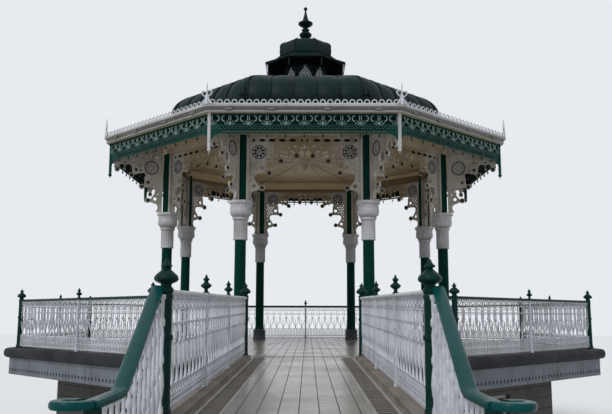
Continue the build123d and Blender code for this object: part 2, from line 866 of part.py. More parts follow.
with BuildPart() as lantern_lattice:
    for angle in side_names:
        with BuildSketch(side_plane(angle, lantern_reach - lantern_wall / 2, light_middle)):
            for lean in (-45, 45):
                Rectangle(lattice_bar, 2 * lantern_light_height, rotation=lean)
            Rectangle(lantern_light_width, lantern_light_height, mode=Mode.INTERSECT)
        extrude(amount=lattice_bar / 2, both=True)
finish(lantern_lattice, "lantern_lattice")

lantern_roof_height = lantern_eaves_rise + lantern_roof_rise
lantern_eaves_reach = lantern_reach + lantern_overhang
lantern_roof_levels = [
    (0, lantern_reach + lantern_soffit),
    (lantern_eaves_rise / 2, lantern_eaves_reach),
    (lantern_eaves_rise, lantern_eaves_reach),
    (lantern_eaves_rise + lantern_roof_break, cap_reach + cap_shoulder),
    (lantern_roof_height, cap_reach),
]
lantern_head_level = lantern_level + lantern_height
lantern_roof = tapered_stack(lantern_roof_levels, base=lantern_head_level)
finish(at_places(lantern_roof, [(0, 0, 0)]), "lantern_roof")

cap_level = lantern_head_level + lantern_roof_height
lantern_cap = tapered_stack(shaped(cap_profile, cap_height, cap_reach), base=cap_level)
finish(at_places(lantern_cap, [(0, 0, 0)]), "lantern_cap")

finial_levels = shaped(finial_profile, finial_height, finial_reach)
finial = tapered_stack(finial_levels, finial_sides, cap_level + cap_height)
finish(at_places(finial, [(0, 0, 0)]), "finial")
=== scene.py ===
"""Finishes and fine ironwork of a seaside bandstand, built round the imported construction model.

The platform is an octagon. Every repeated side is drawn once on the front side, which faces -Y,
with x along the side and z up, and is then turned about the upright centre line.
All lengths are in metres.
"""

import logging
import math
from dataclasses import dataclass, field
from enum import Enum
from typing import Iterable, Optional, Sequence

import bmesh
import bpy
from mathutils import Matrix, Vector


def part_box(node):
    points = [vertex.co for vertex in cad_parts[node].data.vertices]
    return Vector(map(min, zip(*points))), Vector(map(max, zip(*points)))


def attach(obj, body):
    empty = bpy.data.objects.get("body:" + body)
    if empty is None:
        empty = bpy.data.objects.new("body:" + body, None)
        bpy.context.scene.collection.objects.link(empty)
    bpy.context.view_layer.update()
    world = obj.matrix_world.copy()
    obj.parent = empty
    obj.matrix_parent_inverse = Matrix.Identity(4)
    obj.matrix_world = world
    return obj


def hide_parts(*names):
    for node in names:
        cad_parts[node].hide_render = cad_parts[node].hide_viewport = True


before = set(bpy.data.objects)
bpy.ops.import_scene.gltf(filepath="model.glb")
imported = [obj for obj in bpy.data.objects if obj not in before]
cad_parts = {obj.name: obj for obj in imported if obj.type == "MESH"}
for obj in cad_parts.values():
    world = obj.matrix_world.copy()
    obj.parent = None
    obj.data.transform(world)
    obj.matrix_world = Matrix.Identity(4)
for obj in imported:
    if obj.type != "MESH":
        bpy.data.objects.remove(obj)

LOG = logging.getLogger("bandstand")
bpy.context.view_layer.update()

SIDES = 8
TURN = 2 * math.pi / SIDES
HALF_TURN = TURN / 2
SIDE_NAMES = ("front", "front_right", "right", "back_right", "back", "back_left", "left", "front_left")
DECK_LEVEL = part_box("platform_slab")[1].z
RAIL_REACH = (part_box("railing_right")[0].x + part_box("railing_right")[1].x) / 2
SOFFIT_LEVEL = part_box("ceiling")[0].z
CORNICE_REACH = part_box("cornice")[1].x
SMOOTH_ANGLE = math.radians(38)

Point = tuple[float, float]
Point3 = tuple[float, float, float]
Profile = tuple[Point, ...]

HALF_GAP = 1.25
NEWEL_REACH = 0.047
POST_REACH = 0.028
TRACERY_PITCH = 0.546
FLAT_SECTION: Profile = ((0.5, -0.5), (0.5, 0.5), (-0.5, 0.5), (-0.5, -0.5))
RIDGED_SECTION: Profile = ((0.5, 0), (0.22, 0.5), (-0.22, 0.5), (-0.5, 0), (-0.22, -0.5), (0.22, -0.5))


# ---------------------------------------------------------------- small geometry helpers


def half_side(reach: float) -> float:
    """Half the length of an octagon's side at a reach."""
    return reach * math.tan(HALF_TURN)


def corner_radius(reach: float) -> float:
    """Distance from the centre to an octagon's corner."""
    return reach / math.cos(HALF_TURN)


def corner_point(radius: float, level: float, index: int = 0) -> Point3:
    """A point in line with one of the octagon's corners."""
    angle = HALF_TURN + TURN * index
    return (radius * math.sin(angle), -radius * math.cos(angle), level)


def corner_ring(radius: float, level: float) -> list[Point3]:
    """The eight corners of a level octagon."""
    return [corner_point(radius, level, index) for index in range(SIDES)]


def raised(profile: Sequence[Point], level: float, scale: float = 1.0) -> list[Point]:
    """A profile moved up to a level, with its radii multiplied by a scale."""
    return [(level + height, scale * radius) for height, radius in profile]


def polar(centre: Point, radius: float, angle: float) -> Point:
    """The point at a radius and an angle in radians from a centre."""
    return (centre[0] + radius * math.cos(angle), centre[1] + radius * math.sin(angle))


def arc(centre: Point, radius: float, start: float, end: float, cuts: int) -> list[Point]:
    """Points along an arc.

    Args:
        centre: Middle of the arc.
        radius: Radius in metres.
        start: First angle in degrees.
        end: Last angle in degrees.
        cuts: Number of straight cuts.

    Returns:
        The points from the first angle to the last.
    """
    return [polar(centre, radius, math.radians(start + (end - start) * index / cuts))
            for index in range(cuts + 1)]


def oval(centre: Point, width: float, height: float, cuts: int) -> list[Point]:
    """A closed outline from its half width and half height."""
    return [(centre[0] + width * a, centre[1] + height * b) for a, b in arc((0, 0), 1, 0, 360, cuts)[:-1]]


def circle(centre: Point, radius: float, cuts: int) -> list[Point]:
    """A closed round outline."""
    return oval(centre, radius, radius, cuts)


def smooth_path(points: Sequence[Point], cuts: int) -> list[Point]:
    """A Catmull-Rom curve through 2-D points.

    Args:
        points: The points that the curve passes.
        cuts: Straight cuts between two of them.

    Returns:
        The points of the curve.
    """
    padded = [points[0], *points, points[-1]]
    curve = []
    for corners in zip(padded, padded[1:], padded[2:], padded[3:]):
        for step in range(cuts):
            t = step / cuts
            curve.append(tuple(
                0.5 * (2 * b + (c - a) * t + (2 * a - 5 * b + 4 * c - d) * t * t
                       + (3 * b - a - 3 * c + d) * t**3)
                for a, b, c, d in zip(*corners)
            ))
    curve.append(tuple(points[-1]))
    return curve


def mirrored(path: Sequence[Point]) -> list[Point]:
    """The path mirrored about x = 0."""
    return [(-x, z) for x, z in path]


@dataclass
class Casting:
    """Closed shells gathered into one mesh, as parts cast or welded together."""

    points: list[Point3] = field(default_factory=list)
    faces: list[tuple[int, ...]] = field(default_factory=list)

    def shell(self, points: Iterable[Point3], faces: Iterable[Sequence[int]]) -> None:
        """Adds one shell from its own points and faces.

        Args:
            points: Points of the shell.
            faces: Faces as numbers of those points.
        """
        start = len(self.points)
        self.points.extend(points)
        self.faces.extend(tuple(start + index for index in face) for face in faces)

    def rings(self, rings: Sequence[Sequence[Point3]], closed: bool = False) -> None:
        """Joins rings of equal count into a closed shell.

        Args:
            rings: Rings of points, each with the same count.
            closed: Whether the last ring meets the first, in place of two caps.
        """
        count, size = len(rings), len(rings[0])
        faces = []
        for index in range(count if closed else count - 1):
            after = (index + 1) % count
            for side in range(size):
                beside = (side + 1) % size
                faces.append((index * size + side, index * size + beside, after * size + beside,
                              after * size + side))
        if not closed:
            faces.append(tuple(range(size - 1, -1, -1)))
            faces.append(tuple((count - 1) * size + side for side in range(size)))
        self.shell([point for ring in rings for point in ring], faces)

    def bar(self, path: Sequence[Point], width: float, depth: float, y: float = 0.0, closed: bool = False,
            ridged: bool = False) -> None:
        """A flat bar that follows a path in the XZ plane.

        Args:
            path: Centre line as (x, z).
            width: Width in the plane.
            depth: Thickness along Y.
            y: Middle of the bar on Y.
            closed: Whether the path is a loop.
            ridged: Whether the section is a hexagon with its edges on the plane.
        """
        section = RIDGED_SECTION if ridged else FLAT_SECTION
        last = len(path) - 1
        rings = []
        for index, (x, z) in enumerate(path):
            before = path[index - 1] if index or closed else path[0]
            after = path[(index + 1) % len(path)] if index < last or closed else path[last]
            dx, dz = after[0] - before[0], after[1] - before[1]
            length = math.hypot(dx, dz) or 1.0
            nx, nz = -dz / length, dx / length
            rings.append([(x + nx * width * a, y + depth * b, z + nz * width * a) for a, b in section])
        self.rings(rings, closed)

    def hoop(self, centre: Point, radius: float, width: float, depth: float, cuts: int = 8) -> None:
        """A round ring in the XZ plane."""
        self.bar(circle(centre, radius, cuts), width, depth, closed=True)

    def turned(self, profile: Sequence[Point], sides: int, centre: Point3 = (0, 0, 0), start: float = 0.0,
               flutes: float = 0.0, fluted: Optional[Point] = None) -> None:
        """An upright turned piece.

        Args:
            profile: (height, radius) from the bottom up.
            sides: Number of sides.
            centre: Foot of the axis.
            start: Turn of the first corner in radians.
            flutes: Share of the radius by which every other corner is sunk.
            fluted: Lowest and highest height with flutes.
        """
        rings = []
        for height, radius in profile:
            ring = []
            for side in range(sides):
                angle = start + 2 * math.pi * side / sides
                sunk = fluted is not None and fluted[0] <= height <= fluted[1] and side % 2
                reach = max(radius, 1e-4) * (1 - flutes if sunk else 1)
                ring.append((*polar(centre, reach, angle), centre[2] + height))
            rings.append(ring)
        self.rings(rings)

    @staticmethod
    def _ahead(path: Sequence[Point3], index: int) -> Vector:
        """The way that a path runs at one of its points."""
        return Vector(path[min(index + 1, len(path) - 1)]) - Vector(path[max(index - 1, 0)])

    def tube(self, path: Sequence[Point3], radius: float, sides: int = 6) -> None:
        """A round bar along a path in space.

        Args:
            path: Centre line.
            radius: Radius of the bar.
            sides: Number of sides.
        """
        rings = []
        for index, point in enumerate(path):
            ahead = self._ahead(path, index).normalized()
            side = ahead.cross(Vector((0, 0, 1)))
            side = side.normalized() if side.length > 1e-4 else Vector((1, 0, 0))
            rise = side.cross(ahead).normalized()
            ring = []
            for turn in range(sides):
                angle = 2 * math.pi * (turn + 0.5) / sides
                ring.append(tuple(Vector(point) + radius * (math.cos(angle) * side + math.sin(angle) * rise)))
            rings.append(ring)
        self.rings(rings)

    def rail(self, path: Sequence[Point3], section: Sequence[Point]) -> None:
        """A rail whose section stays upright along a path.

        Args:
            path: Foot of the section at each place.
            section: Outline as (outwards, up).
        """
        rings = []
        for index, point in enumerate(path):
            ahead = self._ahead(path, index)
            side = Vector((ahead.y, -ahead.x, 0)).normalized()
            rings.append([(point[0] + a * side.x, point[1] + a * side.y, point[2] + b) for a, b in section])
        self.rings(rings)

    def block(self, low: Point3, high: Point3) -> None:
        """A plain block between two corners."""
        (a, b, c), (d, e, f) = low, high
        self.rings([[(a, b, c), (d, b, c), (d, e, c), (a, e, c)],
                    [(a, b, f), (d, b, f), (d, e, f), (a, e, f)]])

    def ball(self, centre: Point3, radius: float, sides: int = 8, levels: int = 5) -> None:
        """A cast ball or bead.

        Args:
            centre: Middle of the ball.
            radius: Its radius.
            sides: Sides round its axis.
            levels: Cuts from its foot to its top.
        """
        profile = []
        for index in range(levels + 1):
            angle = math.pi * index / levels
            profile.append((-radius * math.cos(angle), radius * math.sin(angle)))
        self.turned(profile, sides, centre)

    def wall(self, outlines: Sequence[Sequence[Point]], thickness: float, y: float = 0.0) -> None:
        """A pierced plate in the XZ plane.

        Args:
            outlines: The outer edge and the edges of the piercings, as (x, z).
            thickness: Thickness along Y.
            y: Middle of the plate on Y.
        """
        curve = bpy.data.curves.new("pierced", "CURVE")
        curve.dimensions = "2D"
        curve.fill_mode = "BOTH"
        curve.extrude = thickness / 2
        for outline in outlines:
            spline = curve.splines.new("POLY")
            spline.points.add(len(outline) - 1)
            spline.use_cyclic_u = True
            for point, (x, z) in zip(spline.points, outline):
                point.co = (x, z, 0, 1)
        carrier = bpy.data.objects.new("pierced", curve)
        mesh = bpy.data.meshes.new_from_object(carrier)
        work = bmesh.new()
        work.from_mesh(mesh)
        bmesh.ops.remove_doubles(work, verts=work.verts, dist=1e-5)
        points = [(vertex.co.x, y - vertex.co.z, vertex.co.y) for vertex in work.verts]
        work.verts.index_update()
        self.shell(points, [[vertex.index for vertex in face.verts] for face in work.faces])
        work.free()
        bpy.data.objects.remove(carrier)
        bpy.data.curves.remove(curve)
        bpy.data.meshes.remove(mesh)

    def stretched(self, factor: float) -> "Casting":
        """A copy with its heights multiplied by a factor."""
        return Casting([(x, y, z * factor) for x, y, z in self.points], list(self.faces))

    def moved(self, offset: Point3 = (0, 0, 0), turn: float = 0.0, shear: float = 0.0) -> "Casting":
        """A copy that is raised by shear times x, turned about Z and then moved.

        Args:
            offset: Move after the turn.
            turn: Turn about Z in radians.
            shear: Rise for each metre along x.

        Returns:
            The placed copy.
        """
        c, s = math.cos(turn), math.sin(turn)
        points = []
        for x, y, z in self.points:
            points.append((c * x - s * y + offset[0], s * x + c * y + offset[1], z + shear * x + offset[2]))
        return Casting(points, list(self.faces))

    def joined(self, *others: "Casting") -> "Casting":
        """This casting with the others added to it.

        Args:
            others: The castings to add.

        Returns:
            This casting.
        """
        for other in others:
            self.shell(other.points, other.faces)
        return self

    def mesh(self, name: str) -> bpy.types.Mesh:
        """The castings as one mesh with outward faces and soft shading over shallow edges.

        Args:
            name: Name of the mesh.

        Returns:
            The mesh.
        """
        mesh = bpy.data.meshes.new(name)
        mesh.from_pydata(self.points, [], self.faces)
        work = bmesh.new()
        work.from_mesh(mesh)
        bmesh.ops.recalc_face_normals(work, faces=work.faces)
        work.to_mesh(mesh)
        work.free()
        mesh.shade_smooth()
        mesh.set_sharp_from_angle(angle=SMOOTH_ANGLE)
        return mesh


# ---------------------------------------------------------------- node trees


class NodeSheet:
    """Adds nodes to a tree and links them in one call."""

    def __init__(self, tree: bpy.types.NodeTree) -> None:
        """Takes the tree to fill."""
        self.tree = tree

    def add(self, kind: str, inputs: Optional[dict] = None, **settings: object) -> bpy.types.Node:
        """A new node.

        Args:
            kind: The node's type.
            inputs: Values or sockets by input name or number.
            settings: Properties of the node.

        Returns:
            The node.
        """
        node = self.tree.nodes.new(kind)
        for key, value in settings.items():
            setattr(node, key, value)
        for key, value in (inputs or {}).items():
            if isinstance(value, bpy.types.NodeSocket):
                self.tree.links.new(value, node.inputs[key])
            else:
                node.inputs[key].default_value = value
        return node

    def math(self, operation: str, *values: object) -> bpy.types.NodeSocket:
        """The result of a Math node."""
        return self.add("ShaderNodeMath", dict(enumerate(values)), operation=operation).outputs[0]

    def mix(self, share: object, first: object, second: object) -> bpy.types.NodeSocket:
        """A colour between two colours."""
        return self.add("ShaderNodeMix", {0: share, 6: first, 7: second}, data_type="RGBA").outputs[2]

    def off_middle(self, value: bpy.types.NodeSocket) -> bpy.types.NodeSocket:
        """How far the fraction of a value lies from a half."""
        return self.math("ABSOLUTE", self.math("SUBTRACT", self.math("FRACT", value), 0.5))

    def scaled(self, vector: object, factor: bpy.types.NodeSocket) -> bpy.types.NodeSocket:
        """A vector or colour multiplied by one factor."""
        return self.add("ShaderNodeVectorMath", {0: vector, "Scale": factor}, operation="SCALE").outputs[0]

    def squeezed(self, place: bpy.types.NodeSocket, factors: Point3) -> bpy.types.NodeSocket:
        """A place multiplied by a factor for each axis."""
        return self.add("ShaderNodeVectorMath", {0: place, 1: factors}, operation="MULTIPLY").outputs[0]

    def group(self, tree: bpy.types.NodeTree, inputs: dict) -> bpy.types.bpy_prop_collection:
        """The outputs of a shader group."""
        return self.add("ShaderNodeGroup", inputs, node_tree=tree).outputs

    def noise(self, place: bpy.types.NodeSocket, scale: object, detail: float = 4.0) -> bpy.types.NodeSocket:
        """A noise value at a place."""
        return self.add("ShaderNodeTexNoise", {"Vector": place, "Scale": scale, "Detail": detail}).outputs[0]

    def ramp(self, value: bpy.types.NodeSocket, low: float, high: float) -> bpy.types.NodeSocket:
        """The value spread from 0 to 1 between two limits."""
        node = self.add("ShaderNodeMapRange", {"Value": value, "From Min": low, "From Max": high}, clamp=True)
        return node.outputs[0]


# ---------------------------------------------------------------- repeated pieces


class RepeatInput(Enum):
    """Names and kinds of the inputs of the repeating node tree."""

    COUNT = ("Count", "NodeSocketInt")
    START = ("Start", "NodeSocketVector")
    STEP = ("Step", "NodeSocketVector")
    SIDES = ("Sides", "NodeSocketInt")
    FIRST = ("First Turn", "NodeSocketFloat")
    TURN = ("Turn", "NodeSocketFloat")
    MATERIAL = ("Material", "NodeSocketMaterial")


@dataclass(frozen=True)
class Repeat:
    """A row of units on one side, and the sides that carry the row."""

    count: int = 1
    start: Point3 = (0.0, 0.0, 0.0)
    step: Point3 = (0.0, 0.0, 0.0)
    sides: int = SIDES
    first: float = 0.0

    @staticmethod
    def row(count: int, start: Point3, pitch: float) -> "Repeat":
        """A row along every side."""
        return Repeat(count=count, start=start, step=(pitch, 0, 0))

    def values(self, material: bpy.types.Material) -> dict[RepeatInput, object]:
        """The tree's inputs for this repeat.

        Args:
            material: The finish that the tree sets.

        Returns:
            The values by input.
        """
        return {
            RepeatInput.COUNT: self.count,
            RepeatInput.START: self.start,
            RepeatInput.STEP: self.step,
            RepeatInput.SIDES: self.sides,
            RepeatInput.FIRST: self.first,
            RepeatInput.TURN: TURN,
            RepeatInput.MATERIAL: material,
        }


EVERY_SIDE = Repeat()
ALL_BUT_FRONT = Repeat(sides=SIDES - 1, first=TURN)
FRONT_CORNERS = Repeat(sides=2, first=-TURN)
OTHER_CORNERS = Repeat(sides=SIDES - 2, first=TURN)


class RepeatTree:
    """Geometry Nodes that lay a unit in a row and turn the row round the octagon."""

    def __init__(self) -> None:
        """Builds the tree."""
        self.tree = bpy.data.node_groups.new("rows_round_the_octagon", "GeometryNodeTree")
        self.tree.is_modifier = True
        face = self.tree.interface
        face.new_socket("Geometry", in_out="INPUT", socket_type="NodeSocketGeometry")
        face.new_socket("Geometry", in_out="OUTPUT", socket_type="NodeSocketGeometry")
        self.identifiers = {}
        for name in RepeatInput:
            label, kind = name.value
            self.identifiers[name] = face.new_socket(label, in_out="INPUT", socket_type=kind).identifier
        self._fill()

    def _fill(self) -> None:
        """Adds and links the nodes."""
        sheet = NodeSheet(self.tree)
        outputs = sheet.add("NodeGroupInput").outputs
        given = {name: outputs[name.value[0]] for name in RepeatInput}
        row = sheet.add("GeometryNodeMeshLine", {
            "Count": given[RepeatInput.COUNT],
            "Start Location": given[RepeatInput.START],
            "Offset": given[RepeatInput.STEP],
        }, mode="OFFSET")
        units = sheet.add("GeometryNodeInstanceOnPoints",
                          {"Points": row.outputs["Mesh"], "Instance": outputs["Geometry"]})
        ring = sheet.add("GeometryNodeMeshLine", {"Count": given[RepeatInput.SIDES], "Offset": (0, 0, 0)},
                         mode="OFFSET")
        index = sheet.add("GeometryNodeInputIndex").outputs[0]
        turns = sheet.math("MULTIPLY_ADD", index, given[RepeatInput.TURN], given[RepeatInput.FIRST])
        sides = sheet.add("GeometryNodeInstanceOnPoints", {
            "Points": ring.outputs["Mesh"],
            "Instance": units.outputs["Instances"],
            "Rotation": sheet.add("ShaderNodeCombineXYZ", {"Z": turns}).outputs[0],
        })
        real = sheet.add("GeometryNodeRealizeInstances", {"Geometry": sides.outputs["Instances"]})
        dressed = sheet.add("GeometryNodeSetMaterial", {
            "Geometry": real.outputs["Geometry"],
            "Material": given[RepeatInput.MATERIAL],
        })
        sheet.add("NodeGroupOutput", {"Geometry": dressed.outputs["Geometry"]})

    def realise(self, name: str, unit: Casting, repeat: Repeat,
                material: bpy.types.Material) -> bpy.types.Object:
        """A plain mesh object of the repeated unit.

        Args:
            name: Name of the piece.
            unit: The unit on the front side.
            repeat: Its row and sides.
            material: The finish that the tree sets.

        Returns:
            The object, with its place in its mesh and without the modifier.
        """
        piece = bpy.data.objects.new(name, unit.mesh(name))
        bpy.context.scene.collection.objects.link(piece)
        modifier = piece.modifiers.new("repeat", "NODES")
        modifier.node_group = self.tree
        for socket, value in repeat.values(material).items():
            modifier[self.identifiers[socket]] = value
        bpy.context.view_layer.update()
        depsgraph = bpy.context.evaluated_depsgraph_get()
        mesh = bpy.data.meshes.new_from_object(piece.evaluated_get(depsgraph))
        piece.modifiers.clear()
        piece.data = mesh
        return piece


# ---------------------------------------------------------------- finishes


def shader_group(name: str, inputs: dict[str, tuple[str, object]],
                 outputs: dict[str, str]) -> bpy.types.NodeTree:
    """An empty shader node group with named sockets.

    Args:
        name: Name of the group.
        inputs: Socket kind and default by name.
        outputs: Socket kind by name.

    Returns:
        The group.
    """
    group = bpy.data.node_groups.new(name, "ShaderNodeTree")
    for label, (kind, default) in inputs.items():
        socket = group.interface.new_socket(label, in_out="INPUT", socket_type=kind)
        if default is not None:
            socket.default_value = default
    for label, kind in outputs.items():
        group.interface.new_socket(label, in_out="OUTPUT", socket_type=kind)
    return group


FLOAT, COLOUR, VECTOR = "NodeSocketFloat", "NodeSocketColor", "NodeSocketVector"
JOINT_RELIEF = -6.0
JOINT_ROUGHNESS = 0.9


class SharedEffects:
    """Shader groups that several finishes use: weather, joints and grain."""

    def __init__(self) -> None:
        """Builds every group once."""
        self.weather = self._weather()
        self.joints = self._joints()
        self.tiles = self._tiles()
        self.pitting = self._pitting()

    @staticmethod
    def _weather() -> bpy.types.NodeTree:
        """Dirt clouds and upright runs laid over a colour.

        Returns:
            The group.
        """
        group = shader_group(
            "weather",
            {
                "Place": (VECTOR, None),
                "Colour": (COLOUR, (0.5, 0.5, 0.5, 1)),
                "Dirt": (COLOUR, (0.05, 0.04, 0.03, 1)),
                "Amount": (FLOAT, 0.4),
                "Runs": (FLOAT, 0.3),
                "Scale": (FLOAT, 1.5),
            },
            {"Colour": COLOUR, "Mask": FLOAT},
        )
        sheet = NodeSheet(group)
        given = sheet.add("NodeGroupInput").outputs
        place = given["Place"]
        clouds = sheet.ramp(sheet.noise(place, given["Scale"], 6.0), 0.42, 0.78)
        runs = sheet.ramp(sheet.noise(sheet.squeezed(place, (1.0, 1.0, 0.06)), 9.0, 3.0), 0.52, 0.8)
        dirt = sheet.math("MULTIPLY", clouds, given["Amount"])
        streak = sheet.math("MULTIPLY", runs, given["Runs"])
        mask = sheet.math("MINIMUM", sheet.math("ADD", dirt, streak), 1.0)
        fine = sheet.ramp(sheet.noise(place, 23.0, 2.0), 0.3, 0.7)
        toned = sheet.scaled(given["Colour"], sheet.math("MULTIPLY_ADD", fine, 0.16, 0.92))
        sheet.add("NodeGroupOutput", {"Colour": sheet.mix(mask, toned, given["Dirt"]), "Mask": mask})
        return group

    @staticmethod
    def _joints() -> bpy.types.NodeTree:
        """Straight joints across a distance, with a tone for each board or course.

        Returns:
            The group.
        """
        group = shader_group(
            "joints",
            {"Distance": (FLOAT, 0.0), "Pitch": (FLOAT, 0.1), "Width": (FLOAT, 0.006)},
            {"Joint": FLOAT, "Tone": FLOAT},
        )
        sheet = NodeSheet(group)
        given = sheet.add("NodeGroupInput").outputs
        share = sheet.math("DIVIDE", given["Distance"], given["Pitch"])
        edge = sheet.math("SUBTRACT", 0.5, sheet.math("DIVIDE", given["Width"], given["Pitch"]))
        joint = sheet.math("GREATER_THAN", sheet.off_middle(share), edge)
        board = sheet.math("FLOOR", share)
        tone = sheet.add("ShaderNodeTexWhiteNoise", {"W": board}, noise_dimensions="1D").outputs[0]
        sheet.add("NodeGroupOutput", {"Joint": joint, "Tone": tone})
        return group

    @staticmethod
    def _tiles() -> bpy.types.NodeTree:
        """Square tiles on the level plane, with a joint mask and a tone for each tile.

        Returns:
            The group.
        """
        group = shader_group(
            "square_tiles",
            {"Place": (VECTOR, None), "Size": (FLOAT, 0.27), "Joint": (FLOAT, 0.006)},
            {"Joint": FLOAT, "Tone": FLOAT},
        )
        sheet = NodeSheet(group)
        given = sheet.add("NodeGroupInput").outputs
        inverse = sheet.math("DIVIDE", 1.0, given["Size"])
        parts = sheet.add("ShaderNodeSeparateXYZ", {0: sheet.scaled(given["Place"], inverse)})
        edge = sheet.math("SUBTRACT", 0.5, sheet.math("MULTIPLY", given["Joint"], inverse))
        masks, cells = [], []
        for axis in ("X", "Y"):
            cells.append(sheet.math("FLOOR", parts.outputs[axis]))
            masks.append(sheet.math("GREATER_THAN", sheet.off_middle(parts.outputs[axis]), edge))
        cell = sheet.add("ShaderNodeCombineXYZ", {0: cells[0], 1: cells[1]}).outputs[0]
        tone = sheet.add("ShaderNodeTexWhiteNoise", {"Vector": cell}, noise_dimensions="3D").outputs[0]
        sheet.add("NodeGroupOutput", {"Joint": sheet.math("MAXIMUM", masks[0], masks[1]), "Tone": tone})
        return group

    @staticmethod
    def _pitting() -> bpy.types.NodeTree:
        """Height of cast or cut stone grain.

        Returns:
            The group.
        """
        group = shader_group("pitting", {"Place": (VECTOR, None), "Scale": (FLOAT, 60.0)}, {"Height": FLOAT})
        sheet = NodeSheet(group)
        given = sheet.add("NodeGroupInput").outputs
        coarse = sheet.noise(given["Place"], given["Scale"], 5.0)
        fine = sheet.noise(given["Place"], 8.0, 2.0)
        sheet.add("NodeGroupOutput", {"Height": sheet.math("MULTIPLY_ADD", fine, 1.6, coarse)})
        return group


class JointRun(Enum):
    """How boards or courses lie on a surface."""

    NONE = "none"
    OCTAGON = "along the sides"
    UPRIGHT = "upright boards"
    COURSES = "level courses"
    TILES = "square tiles"


@dataclass(frozen=True)
class Finish:
    """A painted, cast, boarded or stone surface."""

    name: str
    colour: Point3
    dirt: Point3 = (0.03, 0.025, 0.02)
    amount: float = 0.35
    runs: float = 0.25
    weather_scale: float = 1.5
    roughness: float = 0.4
    dirty_roughness: float = 0.7
    metallic: float = 0.0
    specular: float = 0.25
    grain_scale: float = 60.0
    bump: float = 0.15
    joint_run: JointRun = JointRun.NONE
    pitch: float = 0.1
    joint: float = 0.006
    joint_colour: Point3 = (0.03, 0.025, 0.02)
    tone_spread: float = 0.25
    # Painted shade: a colour painted in near the upright centre line, fading to the own colour between two
    # reaches.
    crown_shade_colour: Optional[Point3] = None
    crown_shade_range: tuple[float, float] = (4.19, 4.3)

    def _distance(self, sheet: NodeSheet, place: bpy.types.NodeSocket) -> bpy.types.NodeSocket:
        """The distance across the boards or courses.

        Args:
            sheet: Takes the nodes.
            place: The place on the object.

        Returns:
            The distance in metres.
        """
        parts = sheet.add("ShaderNodeSeparateXYZ", {0: place})
        if self.joint_run is JointRun.COURSES:
            return parts.outputs["Z"]
        x = sheet.math("ABSOLUTE", parts.outputs["X"])
        y = sheet.math("ABSOLUTE", parts.outputs["Y"])
        if self.joint_run is JointRun.UPRIGHT:
            return sheet.math("ADD", x, sheet.math("MULTIPLY", y, 0.62))
        diagonal = sheet.math("MULTIPLY", sheet.math("ADD", x, y), math.sqrt(0.5))
        return sheet.math("MAXIMUM", sheet.math("MAXIMUM", x, y), diagonal)

    def _jointed(self, sheet: NodeSheet, effects: SharedEffects,
                 place: bpy.types.NodeSocket) -> tuple[bpy.types.NodeSocket, bpy.types.NodeSocket]:
        """The mask of the joints, and the colour with its joints and tones.

        Args:
            sheet: Takes the nodes.
            effects: The shared shader groups.
            place: The place on the object.

        Returns:
            The mask and the colour.
        """
        if self.joint_run is JointRun.TILES:
            outputs = sheet.group(effects.tiles, {"Place": place, "Size": self.pitch, "Joint": self.joint})
        else:
            inputs = {"Distance": self._distance(sheet, place), "Pitch": self.pitch, "Width": self.joint}
            outputs = sheet.group(effects.joints, inputs)
        joint = outputs["Joint"]
        tone = sheet.math("MULTIPLY_ADD", outputs["Tone"], self.tone_spread, 1 - self.tone_spread / 2)
        return joint, sheet.mix(joint, sheet.scaled(self.colour, tone), (*self.joint_colour, 1))

    def material(self, effects: SharedEffects) -> bpy.types.Material:
        """The material of this finish.

        Args:
            effects: The shared shader groups.

        Returns:
            A new material, or the one already built for this finish.
        """
        title = f"finish_{self.name}"
        known = bpy.data.materials.get(title)
        if known is not None:
            return known
        material = bpy.data.materials.new(title)
        material.use_nodes = True
        material.node_tree.nodes.clear()
        sheet = NodeSheet(material.node_tree)
        place = sheet.add("ShaderNodeTexCoord").outputs["Object"]
        colour: object = (*self.colour, 1)
        joint = None
        if self.joint_run is not JointRun.NONE:
            joint, colour = self._jointed(sheet, effects, place)
        # Painted shade: near the upright centre line the colour turns to the shade colour.
        if self.crown_shade_colour is not None:
            level = sheet.squeezed(place, (1.0, 1.0, 0.0))
            reach = sheet.add("ShaderNodeVectorMath", {0: level}, operation="LENGTH").outputs["Value"]
            colour = sheet.mix(sheet.ramp(reach, *self.crown_shade_range), (*self.crown_shade_colour, 1), colour)
        weather = sheet.group(effects.weather, {
            "Place": place,
            "Colour": colour,
            "Dirt": (*self.dirt, 1),
            "Amount": self.amount,
            "Runs": self.runs,
            "Scale": self.weather_scale,
        })
        relief = sheet.group(effects.pitting, {"Place": place, "Scale": self.grain_scale})["Height"]
        spread = self.dirty_roughness - self.roughness
        rough = sheet.math("MULTIPLY_ADD", weather["Mask"], spread, self.roughness)
        if joint is not None:
            relief = sheet.math("MULTIPLY_ADD", joint, JOINT_RELIEF, relief)
            rough = sheet.math("MAXIMUM", rough, sheet.math("MULTIPLY", joint, JOINT_ROUGHNESS))
        bump = sheet.add("ShaderNodeBump", {"Strength": self.bump, "Distance": 0.01, "Height": relief})
        shader = sheet.add(
            "ShaderNodeBsdfPrincipled",
            {
                "Base Color": weather["Colour"],
                "Roughness": rough,
                "Metallic": self.metallic,
                "Specular IOR Level": self.specular,
                "Normal": bump.outputs[0],
            },
        )
        sheet.add("ShaderNodeOutputMaterial", {"Surface": shader.outputs[0]})
        return material


